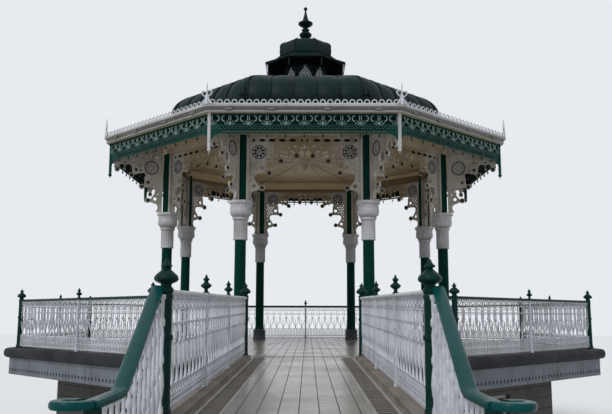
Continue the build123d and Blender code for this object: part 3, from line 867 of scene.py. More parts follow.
COLUMN_GREEN = Finish(
    "column_green_paint", (0.001, 0.032, 0.022), (0.003, 0.011, 0.009), amount=0.3, runs=0.3, roughness=0.34,
    specular=0.03,
)
RAIL_GREEN = Finish(
    "rail_green_paint", (0.002, 0.052, 0.05), (0.002, 0.02, 0.02), amount=0.25, runs=0.15, roughness=0.26,
    specular=0.07,
)
DARK_GREEN = Finish(
    "post_green_paint", (0.002, 0.024, 0.021), (0.003, 0.008, 0.008), amount=0.3, runs=0.2, roughness=0.34,
    specular=0.09,
)
FRET_WHITE = Finish(
    "fret_white_paint", (0.46, 0.43, 0.38), (0.15, 0.11, 0.07), amount=0.6, runs=0.4, roughness=0.45,
)
# White paint, with tan painted shade across the middle of each arch, where the plate lies nearest the centre
# line.
FRET_PLATE = Finish(
    "fret_plate_paint_and_crown_shade", (0.46, 0.43, 0.38), (0.15, 0.11, 0.07), amount=0.55, runs=0.4, roughness=0.45,
    crown_shade_colour=(0.32, 0.25, 0.155),
)
RAIL_WHITE = Finish(
    "rail_white_paint", (0.5, 0.52, 0.56), (0.17, 0.17, 0.18), amount=0.5, runs=0.3, roughness=0.45,
)
CRESTING_WHITE = Finish(
    "cresting_white_paint", (0.52, 0.54, 0.57), (0.2, 0.2, 0.21), amount=0.35, roughness=0.42,
)
CAPITAL_WHITE = Finish(
    "capital_white_paint", (0.45, 0.455, 0.465), (0.17, 0.14, 0.12), amount=0.5, runs=0.4, roughness=0.42,
)
FLOWER_HEART = Finish(
    "flower_heart_paint", (0.035, 0.03, 0.022), (0.03, 0.02, 0.012), amount=0.4, roughness=0.5, specular=0.1,
)
# Dark paint of the arch roundels; also the strip behind the arch frieze ovals, painted dark as the shade
# inside the beam.
ROUNDEL_DARK = Finish(
    "roundel_dark_paint_and_oval_shade", (0.007, 0.008, 0.005), (0.02, 0.014, 0.008), amount=0.4, roughness=0.6,
    specular=0.05,
)
ROUNDEL_BROWN = Finish(
    "roundel_brown_paint", (0.075, 0.058, 0.038), (0.02, 0.014, 0.008), amount=0.4, roughness=0.6,
)
VALANCE_GREEN = Finish(
    "valance_green_paint", (0.003, 0.045, 0.036), (0.003, 0.014, 0.012), amount=0.35, roughness=0.4,
    specular=0.08,
)
# Painted shade: a near-black plate behind the lace stands for the shade under the cornice.
VALANCE_BACK = Finish(
    "valance_backing_painted_shade", (0.001, 0.008, 0.0065), (0.001, 0.004, 0.004), amount=0.4, roughness=0.6,
    specular=0.04,
)
# Painted highlight: the relief is painted pale green-grey, lighter than the lace, for the light it catches.
VALANCE_PALE = Finish(
    "valance_relief_painted_highlight", (0.2, 0.29, 0.26), (0.04, 0.08, 0.07), amount=0.5, roughness=0.4,
)
# Painted shade: the cove and the gutter collars are painted darker than the cornice, for the shade in the
# cove.
CORNICE_SHADE = Finish("cornice_cove_painted_shade", (0.15, 0.15, 0.14), (0.06, 0.055, 0.045), amount=0.4, runs=0.4)
# Painted shade: a matt near-black ring under the lantern's eaves.
LANTERN_SHADE = Finish(
    "lantern_soffit_painted_shade", (0.004, 0.006, 0.005), roughness=0.9, dirty_roughness=0.9, specular=0.0,
)
CORNICE_WHITE = Finish(
    "cornice_paint", (0.33, 0.325, 0.305), (0.09, 0.08, 0.065), amount=0.35, runs=0.3, roughness=0.5,
)
ROOF_SHEET = Finish(
    "roof_sheet_paint", (0.005, 0.017, 0.018), (0.012, 0.02, 0.02), amount=0.6, runs=0.5, roughness=0.45,
    specular=0.09, weather_scale=0.8,
)
LANTERN_GREEN = Finish(
    "lantern_green_paint", (0.003, 0.012, 0.011), (0.008, 0.01, 0.01), amount=0.4, runs=0.3, roughness=0.4,
    specular=0.08,
)
CEILING_BOARDS = Finish(
    "ceiling_boards", (0.56, 0.44, 0.26), (0.26, 0.18, 0.09), amount=0.45, runs=0.0, roughness=0.5,
    joint_run=JointRun.OCTAGON, pitch=0.13, joint=0.006, joint_colour=(0.16, 0.115, 0.06), bump=0.3,
)
BEAM_PAINT = Finish(
    "beam_paint", (0.42, 0.36, 0.27), (0.16, 0.11, 0.07), amount=0.5, runs=0.2, roughness=0.45,
)
# Dark stone, darkened further as painted shade.
COPING_STONE = Finish(
    "coping_stone", (0.02, 0.021, 0.024), (0.007, 0.007, 0.008), amount=0.7, runs=0.3, roughness=0.5,
    specular=0.08, bump=0.5, grain_scale=40,
)
FASCIA_PAINT = Finish(
    "fascia_paint", (0.12, 0.14, 0.16), (0.06, 0.062, 0.066), amount=0.5, runs=0.5, roughness=0.45,
)
PLINTH_STONE = Finish(
    "plinth_stone", (0.06, 0.068, 0.073), (0.02, 0.02, 0.02), amount=0.5, runs=0.4, roughness=0.5,
    specular=0.15, bump=0.5, grain_scale=50,
)
DECK_TILES = Finish(
    "deck_tiles", (0.25, 0.225, 0.19), (0.12, 0.1, 0.08), amount=0.55, runs=0.0, roughness=0.14,
    dirty_roughness=0.4, specular=0.42, joint_run=JointRun.TILES, pitch=0.215, joint=0.0055,
    joint_colour=(0.02, 0.018, 0.016), bump=0.25, weather_scale=0.9,
)
MASONRY = Finish(
    "undercroft_masonry", (0.07, 0.065, 0.06), (0.02, 0.018, 0.016), amount=0.6, runs=0.5, roughness=0.7,
    joint_run=JointRun.COURSES, pitch=0.3, joint=0.008, joint_colour=(0.02, 0.02, 0.02), bump=0.6,
)
DOOR_BOARDS = Finish(
    "door_boards", (0.06, 0.028, 0.018), amount=0.4, runs=0.4, roughness=0.5, joint_run=JointRun.UPRIGHT,
    pitch=0.12, joint=0.006, joint_colour=(0.01, 0.006, 0.004), bump=0.5,
)
FRAME_PAINT = Finish("door_frame_paint", (0.3, 0.29, 0.28), (0.1, 0.09, 0.08), amount=0.4, roughness=0.5)
STEP_STONE = Finish(
    "step_stone", (0.26, 0.245, 0.22), (0.09, 0.075, 0.055), amount=0.6, runs=0.3, roughness=0.5, bump=0.5,
    grain_scale=45,
)
KERB_STONE = Finish(
    "kerb_stone", (0.2, 0.17, 0.14), (0.06, 0.035, 0.02), amount=0.7, runs=0.0, roughness=0.45, bump=0.5,
    grain_scale=45,
)
GIRDER_PAINT = Finish(
    "girder_paint", (0.02, 0.04, 0.037), (0.05, 0.025, 0.012), amount=0.5, runs=0.4, roughness=0.5,
)
GRATING_EDGE = Finish(
    "grating_edge_stone", (0.3, 0.285, 0.26), (0.12, 0.1, 0.07), amount=0.5, runs=0.0, bump=0.4,
)
GRATING_IRON = Finish(
    "grating_iron", (0.17, 0.16, 0.145), (0.1, 0.05, 0.028), amount=0.5, runs=0.0, roughness=0.5,
    metallic=0.2, bump=0.4,
)


@dataclass
class Workshop:
    """What every sub-assembly needs: the repeating tree and the shared effects."""

    tree: RepeatTree = field(default_factory=RepeatTree)
    effects: SharedEffects = field(default_factory=SharedEffects)

    def dress(self, node: str, finish: Finish) -> None:
        """Gives a construction node its finish.

        Args:
            node: Name of the node.
            finish: Its finish.
        """
        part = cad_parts[node]
        part.data.materials.clear()
        part.data.materials.append(finish.material(self.effects))

    def publish(self, piece: bpy.types.Object, replaced: Sequence[str]) -> None:
        """Fixes a finished piece to the bandstand.

        Args:
            piece: The plain mesh object.
            replaced: Construction nodes that it stands for.
        """
        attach(piece, "root")
        if replaced:
            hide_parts(*replaced)
        LOG.info("%s: %d faces", piece.name, len(piece.data.polygons))

    def repeat(self, name: str, unit: Casting, repeat: Repeat, finish: Finish, slot: str,
               replaced: Sequence[str] = ()) -> None:
        """Lays a unit in rows round the octagon and publishes it."""
        piece = self.tree.realise(name, unit, repeat, finish.material(self.effects))
        self.publish(piece, replaced)

    def single(self, name: str, casting: Casting, finish: Finish, slot: str,
               replaced: Sequence[str] = ()) -> None:
        """Publishes a casting that isn't repeated.

        Args:
            name: Name of the piece.
            casting: Its shape.
            finish: Its finish.
            slot: Not used.
            replaced: Construction nodes that it stands for.
        """
        piece = bpy.data.objects.new(name, casting.mesh(name))
        bpy.context.scene.collection.objects.link(piece)
        piece.data.materials.append(finish.material(self.effects))
        self.publish(piece, replaced)


# ---------------------------------------------------------------- railings and posts


@dataclass
class RailingTracery:
    """One unit of the cast railing: loops, paired bars, a rope bar, nodes and splayed bars."""

    pitch: float = 0.528
    low: float = 0.04
    high: float = 1.24
    depth: float = 0.022
    loop_foot: float = 1.115
    collar: float = 1.10
    rope: float = 0.95
    node: float = 0.76
    skirt: float = 0.33
    lower_band: float = 0.19
    bar: float = 0.014

    def unit(self) -> Casting:
        """The unit, with x from minus to plus half a pitch.

        Returns:
            The casting of one unit.
        """
        cast = Casting()
        half, quarter = self.pitch / 2, self.pitch / 4
        for level, width in ((self.high - 0.012, 0.026), (self.collar, 0.016), (self.rope, 0.02),
                             (self.skirt, 0.018), (self.lower_band, 0.016), (self.low + 0.016, 0.032)):
            cast.bar([(-half, level), (half, level)], width, self.depth + 0.006)
        for index in range(8):
            x = -half + self.pitch * (index + 0.5) / 8
            cast.ball((x, 0, self.rope), 0.016, 5, 3)
        self._loops(cast, quarter)
        for centre in (-half, 0.0):
            for side in (-0.034, 0.034):
                x = centre + side
                if centre < 0 and side < 0:
                    x = half + side
                cast.bar([(x, self.node + 0.02), (x, self.collar)], self.bar, self.depth, ridged=True)
        for centre in (-quarter, quarter):
            cast.bar([(centre, self.skirt), (centre, self.node - 0.02)], self.bar, self.depth, ridged=True)
        self._nodes(cast, half)
        self._splayed(cast, half, quarter)
        self._skirting(cast, quarter)
        return cast

    def _loops(self, cast: Casting, quarter: float) -> None:
        """Pointed loops under the top rail.

        Args:
            cast: Takes the loops.
            quarter: A quarter of the pitch.
        """
        top = self.high - 0.015
        rise = top - self.loop_foot
        for centre in (-quarter, quarter):
            loop = smooth_path([(0, 0), (0.052, rise * 0.42), (0, rise)], 3)
            cast.bar([(centre + x, self.loop_foot + z) for x, z in loop], 0.016, self.depth, ridged=True)
            cast.bar([(centre - x, self.loop_foot + z) for x, z in loop], 0.016, self.depth, ridged=True)
            for side in (-1, 1):
                sweep = [(side * quarter, 0), (side * quarter * 0.86, rise * 0.55),
                         (side * quarter * 0.45, rise)]
                cast.bar([(centre + x, self.loop_foot + z) for x, z in smooth_path(sweep, 2)], 0.014,
                         self.depth)

    def _nodes(self, cast: Casting, half: float) -> None:
        """A four-leaved node at the middle and a knob between the nodes.

        Args:
            cast: Takes the nodes.
            half: Half the pitch.
        """
        for centre, size in ((0.0, 0.034), (half, 0.024)):
            for dx, dz in ((1, 0), (-1, 0), (0, 1), (0, -1)):
                cast.hoop((centre + dx * size * 0.85, self.node + dz * size * 0.85), size * 0.62, 0.013,
                          self.depth, 6)

    def _splayed(self, cast: Casting, half: float, quarter: float) -> None:
        """Bars that splay out from the nodes to the skirting band.

        Args:
            cast: Takes the bars.
            half: Half the pitch.
            quarter: A quarter of it.
        """
        rise = self.node - 0.05
        run = self.skirt
        for origin, way in ((0.0, 1), (0.0, -1), (-half, 1), (half, -1)):
            path = [
                (origin + way * 0.02, rise),
                (origin + way * 0.045, rise - 0.35 * (rise - run)),
                (origin + way * quarter * 0.95, run + 0.28 * (rise - run)),
                (origin + way * quarter * 0.7, run),
            ]
            cast.bar(smooth_path(path, 3), 0.02, self.depth, ridged=True)

    def _skirting(self, cast: Casting, quarter: float) -> None:
        """Two rows of round openings above the bottom rail.

        Args:
            cast: Takes the rings.
            quarter: A quarter of the pitch.
        """
        for level, radius in (((self.skirt + self.lower_band) / 2, 0.046),
                              ((self.lower_band + self.low) / 2 + 0.01, 0.044)):
            for index in range(4):
                x = (index - 1.5) * quarter
                cast.hoop((x, level), radius, 0.026, self.depth, 6)


@dataclass
class TurnedPosts:
    """Newels with onion finials, and thin posts under slender finials."""

    newel_radius: float = 0.05
    newel_girth: float = 0.066
    post_radius: float = 0.03
    head: float = 1.3
    ring_share: float = 0.62
    newel_sides: int = 20
    post_sides: int = 16
    newel_foot: Profile = ((0, 1.3), (0.03, 1.3), (0.045, 1.2), (0.075, 1.18), (0.09, 1.05), (0.15, 1))
    newel_ring: Profile = ((-0.03, 0.96), (-0.02, 1.15), (0, 1.2), (0.02, 1.15), (0.03, 0.96))
    newel_collar: Profile = ((-0.1, 0.94), (-0.08, 1.06), (-0.06, 1.06))
    newel_onion: Profile = (
        (-0.045, 1.2), (-0.03, 1.42), (-0.005, 1.46), (0.01, 1.25), (0.02, 1.02), (0.045, 1.06), (0.055, 1.5),
        (0.068, 2.05), (0.085, 2.32), (0.1, 2.34), (0.118, 2.2), (0.14, 1.8), (0.162, 1.3), (0.18, 0.86),
        (0.19, 0.66), (0.2, 0.6), (0.207, 0.9), (0.212, 1.12), (0.224, 1.06), (0.24, 0.66), (0.256, 0.42),
        (0.268, 0.4), (0.28, 0.24), (0.289, 0.03),
    )
    post_foot: Profile = ((0, 1.5), (0.03, 1.5), (0.05, 1.1), (0.1, 1))
    post_ring: Profile = ((-0.015, 1), (-0.01, 1.3), (0.01, 1.3), (0.015, 1))
    post_finial: Profile = (
        (-0.02, 1), (-0.01, 1.4), (0.008, 1.4), (0.014, 0.9), (0.05, 0.82), (0.058, 1.3), (0.07, 1.9),
        (0.092, 2.5), (0.104, 2.3), (0.13, 1.2), (0.148, 0.85), (0.158, 1.0), (0.172, 1.5), (0.182, 1.35),
        (0.205, 0.6), (0.23, 0.4), (0.244, 0.04),
    )

    def newel(self, head: float) -> Casting:
        """A newel up to a head height: spread foot, rings, collar, onion and small tip.

        Args:
            head: Height of the finial's foot.

        Returns:
            The newel on the origin.
        """
        cast, ring = Casting(), head * self.ring_share
        cast.turned([
            *raised(self.newel_foot, 0, self.newel_girth),
            *raised(self.newel_ring, ring, self.newel_girth),
            *raised(self.newel_collar, head, self.newel_girth),
            *raised(self.newel_onion, head, self.newel_radius),
        ], self.newel_sides)
        return cast

    def stem(self, head: float) -> Casting:
        """A thin post up to a head height.

        Args:
            head: Height of the finial's foot.

        Returns:
            The post on the origin.
        """
        cast, ring = Casting(), head * self.ring_share
        cast.turned([
            *raised(self.post_foot, 0, self.post_radius),
            *raised(self.post_ring, ring, self.post_radius),
            (head - 0.015, self.post_radius),
        ], self.post_sides)
        return cast

    def spike(self, head: float) -> Casting:
        """The slender finial over a thin post.

        Args:
            head: Height of the finial's foot.

        Returns:
            The finial at its height.
        """
        cast = Casting()
        cast.turned(raised(self.post_finial, head, self.post_radius), self.post_sides)
        return cast


@dataclass
class PlatformRailings:
    """Railings and posts round the platform's edge."""

    shop: Workshop
    reach: float = RAIL_REACH
    posts: TurnedPosts = field(default_factory=TurnedPosts)

    def build(self) -> None:
        """Builds the tracery of each side and the posts."""
        self._tracery(half_side(self.reach) - NEWEL_REACH)
        head = self.posts.head
        newel = self.posts.newel(head).moved((half_side(self.reach), -self.reach, DECK_LEVEL))
        self.shop.repeat("corner_newels_turned", newel, EVERY_SIDE, DARK_GREEN, "column_green",
                         ["corner_newels"])
        spike = self._placed(self.posts.spike(head))
        self.shop.repeat("railing_finials_turned", spike, ALL_BUT_FRONT, DARK_GREEN, "column_green")
        stem = self._placed(self.posts.stem(head))
        self.shop.repeat("railing_posts_turned", stem, ALL_BUT_FRONT, RAIL_WHITE, "column_green",
                         ["railing_mid_posts"])
        self.shop.dress("platform_handrails", DARK_GREEN)

    def _placed(self, cast: Casting) -> Casting:
        """A casting moved to the middle of the front side."""
        return cast.moved((0, -self.reach, DECK_LEVEL))

    def _row(self, name: str, pair: Casting, count: int, pitch: float, turn: float = 0.0) -> None:
        """Lays a pair of units along one side.

        Args:
            name: Name of the side.
            pair: One unit for each half of the side.
            count: Number of units in a half.
            pitch: Length of a unit.
            turn: Turn of the side from the front.
        """
        row = Repeat(count=count, step=(pitch, 0, 0), sides=1, first=turn)
        self.shop.repeat(f"railing_{name}_tracery", self._placed(pair), row, RAIL_WHITE, "fret_white",
                         [f"railing_{name}"])

    def _tracery(self, corner: float) -> None:
        """Lays the tracery on every side; the front side is open for the bridge.

        Args:
            corner: Distance from a side's middle to its newels.
        """
        run = corner - POST_REACH
        count = round(run / TRACERY_PITCH)
        pitch = run / count
        unit = RailingTracery(pitch=pitch).unit()
        pair = Casting().joined(
            *(unit.moved((side * (POST_REACH + run / 2) - run / 2 + pitch / 2, 0, 0)) for side in (-1, 1))
        )
        for index, name in enumerate(SIDE_NAMES[1:], start=1):
            self._row(name, pair, count, pitch, index * TURN)
        start = HALF_GAP + NEWEL_REACH
        count = 4
        pitch = (corner - start) / count
        unit = RailingTracery(pitch=pitch).unit()
        pair = Casting().joined(unit.moved((-corner + pitch / 2, 0, 0)),
                                unit.moved((start + pitch / 2, 0, 0)))
        self._row(SIDE_NAMES[0], pair, count, pitch)


@dataclass
class Bridge:
    """Parapets, rails, posts, gratings and kerbs of the bridge."""

    shop: Workshop
    slope: float = 0.01295
    fall_start: float = -6.85
    start: float = -7.83
    end: float = -16.78
    post_places: tuple[float, float] = (-14.01, -11.25)
    kerb: float = 0.06
    lowest_rail: float = 1.25
    highest_rail: float = 1.288
    rail_depth: float = 0.06
    rail_section: Profile = (
        (-0.03, 0), (0.03, 0), (0.036, 0.014), (0.045, 0.02), (0.047, 0.038), (0.034, 0.052), (0, 0.06),
        (-0.034, 0.052), (-0.047, 0.038), (-0.045, 0.02), (-0.036, 0.014),
    )
    newel_head: float = 1.285
    grating_reach: float = 0.92
    grating_bar: float = 0.095
    grating_edge: float = 0.128
    grating_pitch: float = 0.15
    posts: TurnedPosts = field(default_factory=TurnedPosts)

    def rail_height(self, place: float) -> float:
        """Height of the top rail over the deck at a place on Y."""
        share = (place - self.end) / (self.start - self.end)
        return self.lowest_rail + share * (self.highest_rail - self.lowest_rail)

    def level(self, place: float) -> float:
        """Level of the deck at a place on Y."""
        return DECK_LEVEL - self.slope * (self.fall_start - place)

    def build(self) -> None:
        """Builds everything that stands on the bridge."""
        self._parapets()
        self._rails()
        self._posts()
        self._gratings()
        for node, finish in (("bridge_deck", DECK_TILES), ("bridge_kerbs", KERB_STONE),
                             ("bridge_girders", GIRDER_PAINT)):
            self.shop.dress(node, finish)

    def _runs(self) -> list[tuple[float, float]]:
        """Start and end on Y of each panel, from the foot newels up.

        Returns:
            The starts and ends in metres.
        """
        places = [self.end + NEWEL_REACH]
        for place in self.post_places:
            places.extend((place - POST_REACH, place + POST_REACH))
        places.append(self.start - NEWEL_REACH)
        return list(zip(places[::2], places[1::2]))

    def _parapets(self) -> None:
        """Tracery panels on both edges, laid to the deck's fall."""
        for side, name in ((-1, "left"), (1, "right")):
            cast = Casting()
            for low, high in self._runs():
                count = round((high - low) / TRACERY_PITCH)
                pitch = (high - low) / count
                unit = RailingTracery(pitch=pitch, low=0.1).unit()
                for index in range(count):
                    place = low + pitch * (index + 0.5)
                    piece = unit.stretched(self.rail_height(place) / self.posts.head).moved(shear=self.slope)
                    cast.joined(piece.moved((side * HALF_GAP, place, self.level(place)), math.pi / 2))
            self.shop.single(f"bridge_parapet_{name}", cast, RAIL_WHITE, "fret_white", ["bridge_parapets"])

    def _rails(self) -> None:
        """Moulded pale top rails."""
        cast = Casting()
        for side in (-1, 1):
            for run in self._runs():
                ends = [(side * HALF_GAP, y, self.level(y) + self.rail_height(y) - self.rail_depth)
                        for y in run]
                cast.rail(ends, self.rail_section)
        self.shop.single("bridge_top_rails", cast, CRESTING_WHITE, "fret_white", ["bridge_handrails"])

    def _posts(self) -> None:
        """Newels at both ends and thin posts between."""
        ends, feet, thin, tips = Casting(), Casting(), Casting(), Casting()
        for side in (-1, 1):
            x = side * HALF_GAP
            foot = self.level(self.start + 0.07)
            ends.joined(self.posts.newel(self.newel_head + DECK_LEVEL - foot).moved((x, self.start, foot)))
            foot = self.level(self.end + 0.07) + self.kerb
            feet.joined(self.posts.newel(self.lowest_rail - self.kerb).moved((x, self.end, foot)))
            for place in self.post_places:
                foot = self.level(place + 0.042) + self.kerb
                head = self.rail_height(place) - self.kerb
                thin.joined(self.posts.stem(head).moved((x, place, foot)))
                tips.joined(self.posts.spike(head).moved((x, place, foot)))
        self.shop.single("bridge_end_newels_turned", ends, DARK_GREEN, "column_green", ["bridge_end_newels"])
        self.shop.single("bridge_foot_newels_turned", feet, DARK_GREEN, "column_green",
                         ["bridge_foot_newels"])
        self.shop.single("bridge_posts_turned", thin, RAIL_WHITE, "column_green", ["bridge_posts"])
        self.shop.single("bridge_post_finials", tips, DARK_GREEN, "column_green")

    def _gratings(self) -> None:
        """Drain gratings of cross bars between edge strips."""
        cast, edges = Casting(), Casting()
        low, high = self.end - 0.11, self.start
        count = int((high - low) / self.grating_pitch)
        for middle in (-self.grating_reach, self.grating_reach):
            for edge in (-self.grating_edge, self.grating_edge):
                x = middle + edge
                edges.rings([
                    [(x + across, y, self.level(y) + rise)
                     for across, rise in ((-0.02, -0.01), (0.02, -0.01), (0.02, 0.004), (-0.02, 0.004))]
                    for y in (low, high)
                ])
            for index in range(count):
                y = low + (high - low) * (index + 0.5) / count
                top = self.level(y)
                cast.block((middle - self.grating_bar, y - 0.036, top - 0.024),
                           (middle + self.grating_bar, y + 0.036, top - 0.003))
        self.shop.single("bridge_grating_bars", cast, GRATING_IRON, "grating_iron", ["bridge_gratings"])
        self.shop.single("bridge_grating_edges", edges, GRATING_EDGE, "grating_iron")


@dataclass
class Stairs:
    """Raking balustrades and scrolled handrails of the steps."""

    shop: Workshop
    rake_top: float = -16.827
    rake_foot: float = -18.427
    slope: float = 0.5
    rail_under: float = 3.6965
    string_low: float = 2.5965
    scroll_place: float = -19.077
    scroll_radius: float = 0.13
    foot_post: float = -19.08
    foot_level: float = 2.47
    string: float = 0.055
    count: int = 13
    baluster: Profile = (
        (0, 0.03), (0.03, 0.03), (0.05, 0.018), (0.12, 0.016), (0.16, 0.024), (0.24, 0.032), (0.33, 0.024),
        (0.4, 0.014), (0.43, 0.026), (0.46, 0.026), (0.5, 0.015), (0.66, 0.02), (0.72, 0.013), (0.74, 0.026),
        (0.78, 0.026), (0.81, 0.014), (0.95, 0.016), (0.97, 0.028), (1, 0.028),
    )
    rail_section: Profile = (
        (-0.05, 0), (0.05, 0), (0.06, 0.014), (0.06, 0.036), (0.048, 0.05), (0.02, 0.055), (-0.02, 0.055),
        (-0.048, 0.05), (-0.06, 0.036), (-0.06, 0.014),
    )

    def rise(self, place: float) -> float:
        """Rise of the rail over its foot at a place on Y."""
        return max(0.0, self.slope * (place - self.rake_foot))

    def build(self) -> None:
        """Builds the balusters, the rails and the foot posts."""
        balusters, rails, posts = Casting(), Casting(), Casting()
        head = self.rail_under - self.foot_level
        profile = [(0, 1.5), (0.03, 1.5), (0.06, 1.1), (0.12, 1), (head * 0.5, 0.92), (head * 0.52, 1.3),
                   (head * 0.55, 1.3), (head * 0.57, 0.92), (head - 0.05, 0.9), (head - 0.03, 1.2),
                   (head, 1.2)]
        for side in (-1, 1):
            self._balusters(balusters, side)
            self._rail(rails, side)
            posts.turned(raised(profile, 0, TurnedPosts.newel_radius), TurnedPosts.newel_sides,
                         (side * HALF_GAP, self.foot_post, self.foot_level))
        self.shop.single("stair_balusters_turned", balusters, RAIL_WHITE, "fret_white", ["stair_balustrades"])
        self.shop.single("stair_rails_scrolled", rails, RAIL_GREEN, "rail_green", ["stair_handrails"])
        self.shop.single("stair_foot_posts_turned", posts, DARK_GREEN, "column_green", ["stair_foot_posts"])
        for index in range(1, 5):
            self.shop.dress(f"step_{index}", STEP_STONE)
        self.shop.dress("abutment", STEP_STONE)

    def _balusters(self, cast: Casting, side: int) -> None:
        """Bulbous turned balusters on a sloping string.

        Args:
            cast: Takes the balusters.
            side: -1 for the left, 1 for the right.
        """
        x, low, string = side * HALF_GAP, self.foot_post + NEWEL_REACH, self.string
        path = [(x, y, self.string_low + self.rise(y)) for y in (low, self.rake_foot, self.rake_top)]
        cast.rail(path, [(-0.015, 0), (0.015, 0), (0.015, string), (-0.015, string)])
        for index in range(self.count):
            place = low + (self.rake_top - low) * (index + 0.5) / self.count
            base = self.string_low + self.rise(place) + string * 0.6
            height = self.rail_under + self.rise(place) - base + 0.01
            cast.turned([(share * height, radius) for share, radius in self.baluster], 12, (x, place, base))

    def _rail(self, cast: Casting, side: int) -> None:
        """A broad flat rail that levels out at the foot and curls outwards.

        Args:
            cast: Takes the rail.
            side: -1 for the left, 1 for the right.
        """
        x = side * HALF_GAP
        path = [
            (x + side * 0.07, self.rake_top, self.rail_under + self.rise(self.rake_top)),
            (x, self.rake_foot + 0.05, self.rail_under + 0.025),
            (x, self.rake_foot - 0.03, self.rail_under),
        ]
        for index in range(22):
            angle = math.radians(15 * index)
            radius = self.scroll_radius - 0.075 * index / 21
            across = x + side * self.scroll_radius - side * radius * math.cos(angle)
            path.append((across, self.scroll_place - radius * math.sin(angle), self.rail_under))
        straight, curl = path[:5], path[4:]
        cast.rail(straight, self.rail_section)
        cast.rail(curl, [(a * 0.75, b) for a, b in self.rail_section])


# ---------------------------------------------------------------- columns and frets


@dataclass
class Columns:
    """Plinths, shafts, capitals and upper posts at the eight corners."""

    shop: Workshop
    reach: float = 4.14
    plinth_top: float = 0.38
    shaft_top: float = 2.865
    shaft_radius: float = 0.155
    capital_top: float = 3.925
    beam_base: float = 5.725
    cuts: int = 32
    beads: int = 20

    def build(self) -> None:
        """Builds one of each on the first corner and turns them round."""
        place = (half_side(self.reach), -self.reach, DECK_LEVEL)
        low, high, radius = self.plinth_top, self.shaft_top, self.shaft_radius
        shaft, plinth, post = Casting(), Casting(), Casting()
        shaft.turned([(low, 0.178), (low + 0.02, 0.178), (low + 0.05, radius + 0.004), (low + 0.2, radius),
                      (high - 0.05, 0.15), (high, 0.15)], self.cuts)
        plinth.turned([(0, 0.25), (0.055, 0.25), (0.075, 0.236), (0.3, 0.23), (0.315, 0.24), (0.34, 0.24),
                       (low, 0.19)], SIDES, start=HALF_TURN)
        post.turned([(self.capital_top - 0.02, corner_radius(radius)),
                     (self.beam_base, corner_radius(radius))], SIDES, start=HALF_TURN)
        for name, cast, finish, slot, replaced in (
            ("column_shafts_round", shaft, COLUMN_GREEN, "column_green", "column_shafts"),
            ("column_capitals_fluted", self._capital(), CAPITAL_WHITE, "fret_white", "column_capitals"),
            ("column_plinths_moulded", plinth, PLINTH_STONE, "plinth_stone", "column_plinths"),
            ("column_upper_posts_octagonal", post, COLUMN_GREEN, "column_green", "column_upper_posts"),
        ):
            self.shop.repeat(name, cast.moved(place), EVERY_SIDE, finish, slot, [replaced])

    def _capital(self) -> Casting:
        """A ring, a fluted drum, a beaded neck, a cushion bell and an eight-sided abacus.

        Returns:
            The capital over the origin.
        """
        cast = Casting()
        base = self.shaft_top
        cast.turned([(0, 0.16), (0.008, 0.19), (0.03, 0.198), (0.052, 0.19), (0.06, 0.178), (0.075, 0.178)],
                    self.cuts, (0, 0, base))
        cast.turned([(0.07, 0.184), (0.075, 0.188), (0.54, 0.188), (0.548, 0.184)], 40, (0, 0, base),
                    flutes=0.1, fluted=(0.0745, 0.541))
        neck = base + 0.555
        cast.turned([(-0.01, 0.19), (0, 0.212), (0.025, 0.22), (0.05, 0.212), (0.06, 0.19)], self.cuts,
                    (0, 0, neck))
        for index in range(self.beads):
            cast.ball((*polar((0, 0), 0.208, 2 * math.pi * index / self.beads), neck + 0.072), 0.02, 6, 4)
        bell = neck + 0.09
        cast.turned([(-0.02, 0.19), (0, 0.22), (0.03, 0.262), (0.06, 0.28), (0.12, 0.288), (0.2, 0.288),
                     (0.215, 0.278), (0.225, 0.284), (0.28, 0.284)], self.cuts, (0, 0, bell))
        top = self.capital_top
        cast.turned([(bell + 0.26, 0.27), (bell + 0.285, 0.285), (top - 0.085, 0.305), (top - 0.07, 0.335),
                     (top - 0.02, 0.34), (top, 0.33)], SIDES, start=HALF_TURN)
        for index in range(SIDES * 2):
            self._leaf(cast, 0.255, HALF_TURN * (index + 0.5), bell + 0.02)
        return cast

    @staticmethod
    def _leaf(cast: Casting, reach: float, angle: float, foot: float) -> None:
        """A low leaf on the bell."""
        points = [(reach - 0.02, 0.0), (reach + 0.018, 0.05), (reach + 0.024, 0.12), (reach + 0.022, 0.17)]
        cast.tube([(*polar((0, 0), radius, angle), foot + height) for radius, height in points], 0.016, 5)


def edge_distance(point: Point, outline: Sequence[Point]) -> float:
    """Distance from a point to a closed outline.

    Args:
        point: The point.
        outline: Corners of the outline.

    Returns:
        The distance in metres.
    """
    nearest = math.inf
    px, pz = point
    for (ax, az), (bx, bz) in zip(outline, [*outline[1:], outline[0]]):
        dx, dz = bx - ax, bz - az
        share = max(0.0, min(1.0, ((px - ax) * dx + (pz - az) * dz) / (dx * dx + dz * dz or 1.0)))
        nearest = min(nearest, math.hypot(px - ax - share * dx, pz - az - share * dz))
    return nearest


def inside(point: Point, outline: Sequence[Point]) -> bool:
    """Whether a point lies inside a closed outline.

    Args:
        point: The point.
        outline: Corners of the outline.

    Returns:
        True for a point inside.
    """
    px, pz = point
    crossings = 0
    for (ax, az), (bx, bz) in zip(outline, [*outline[1:], outline[0]]):
        if (az > pz) != (bz > pz) and px < ax + (pz - az) * (bx - ax) / (bz - az):
            crossings += 1
    return crossings % 2 == 1


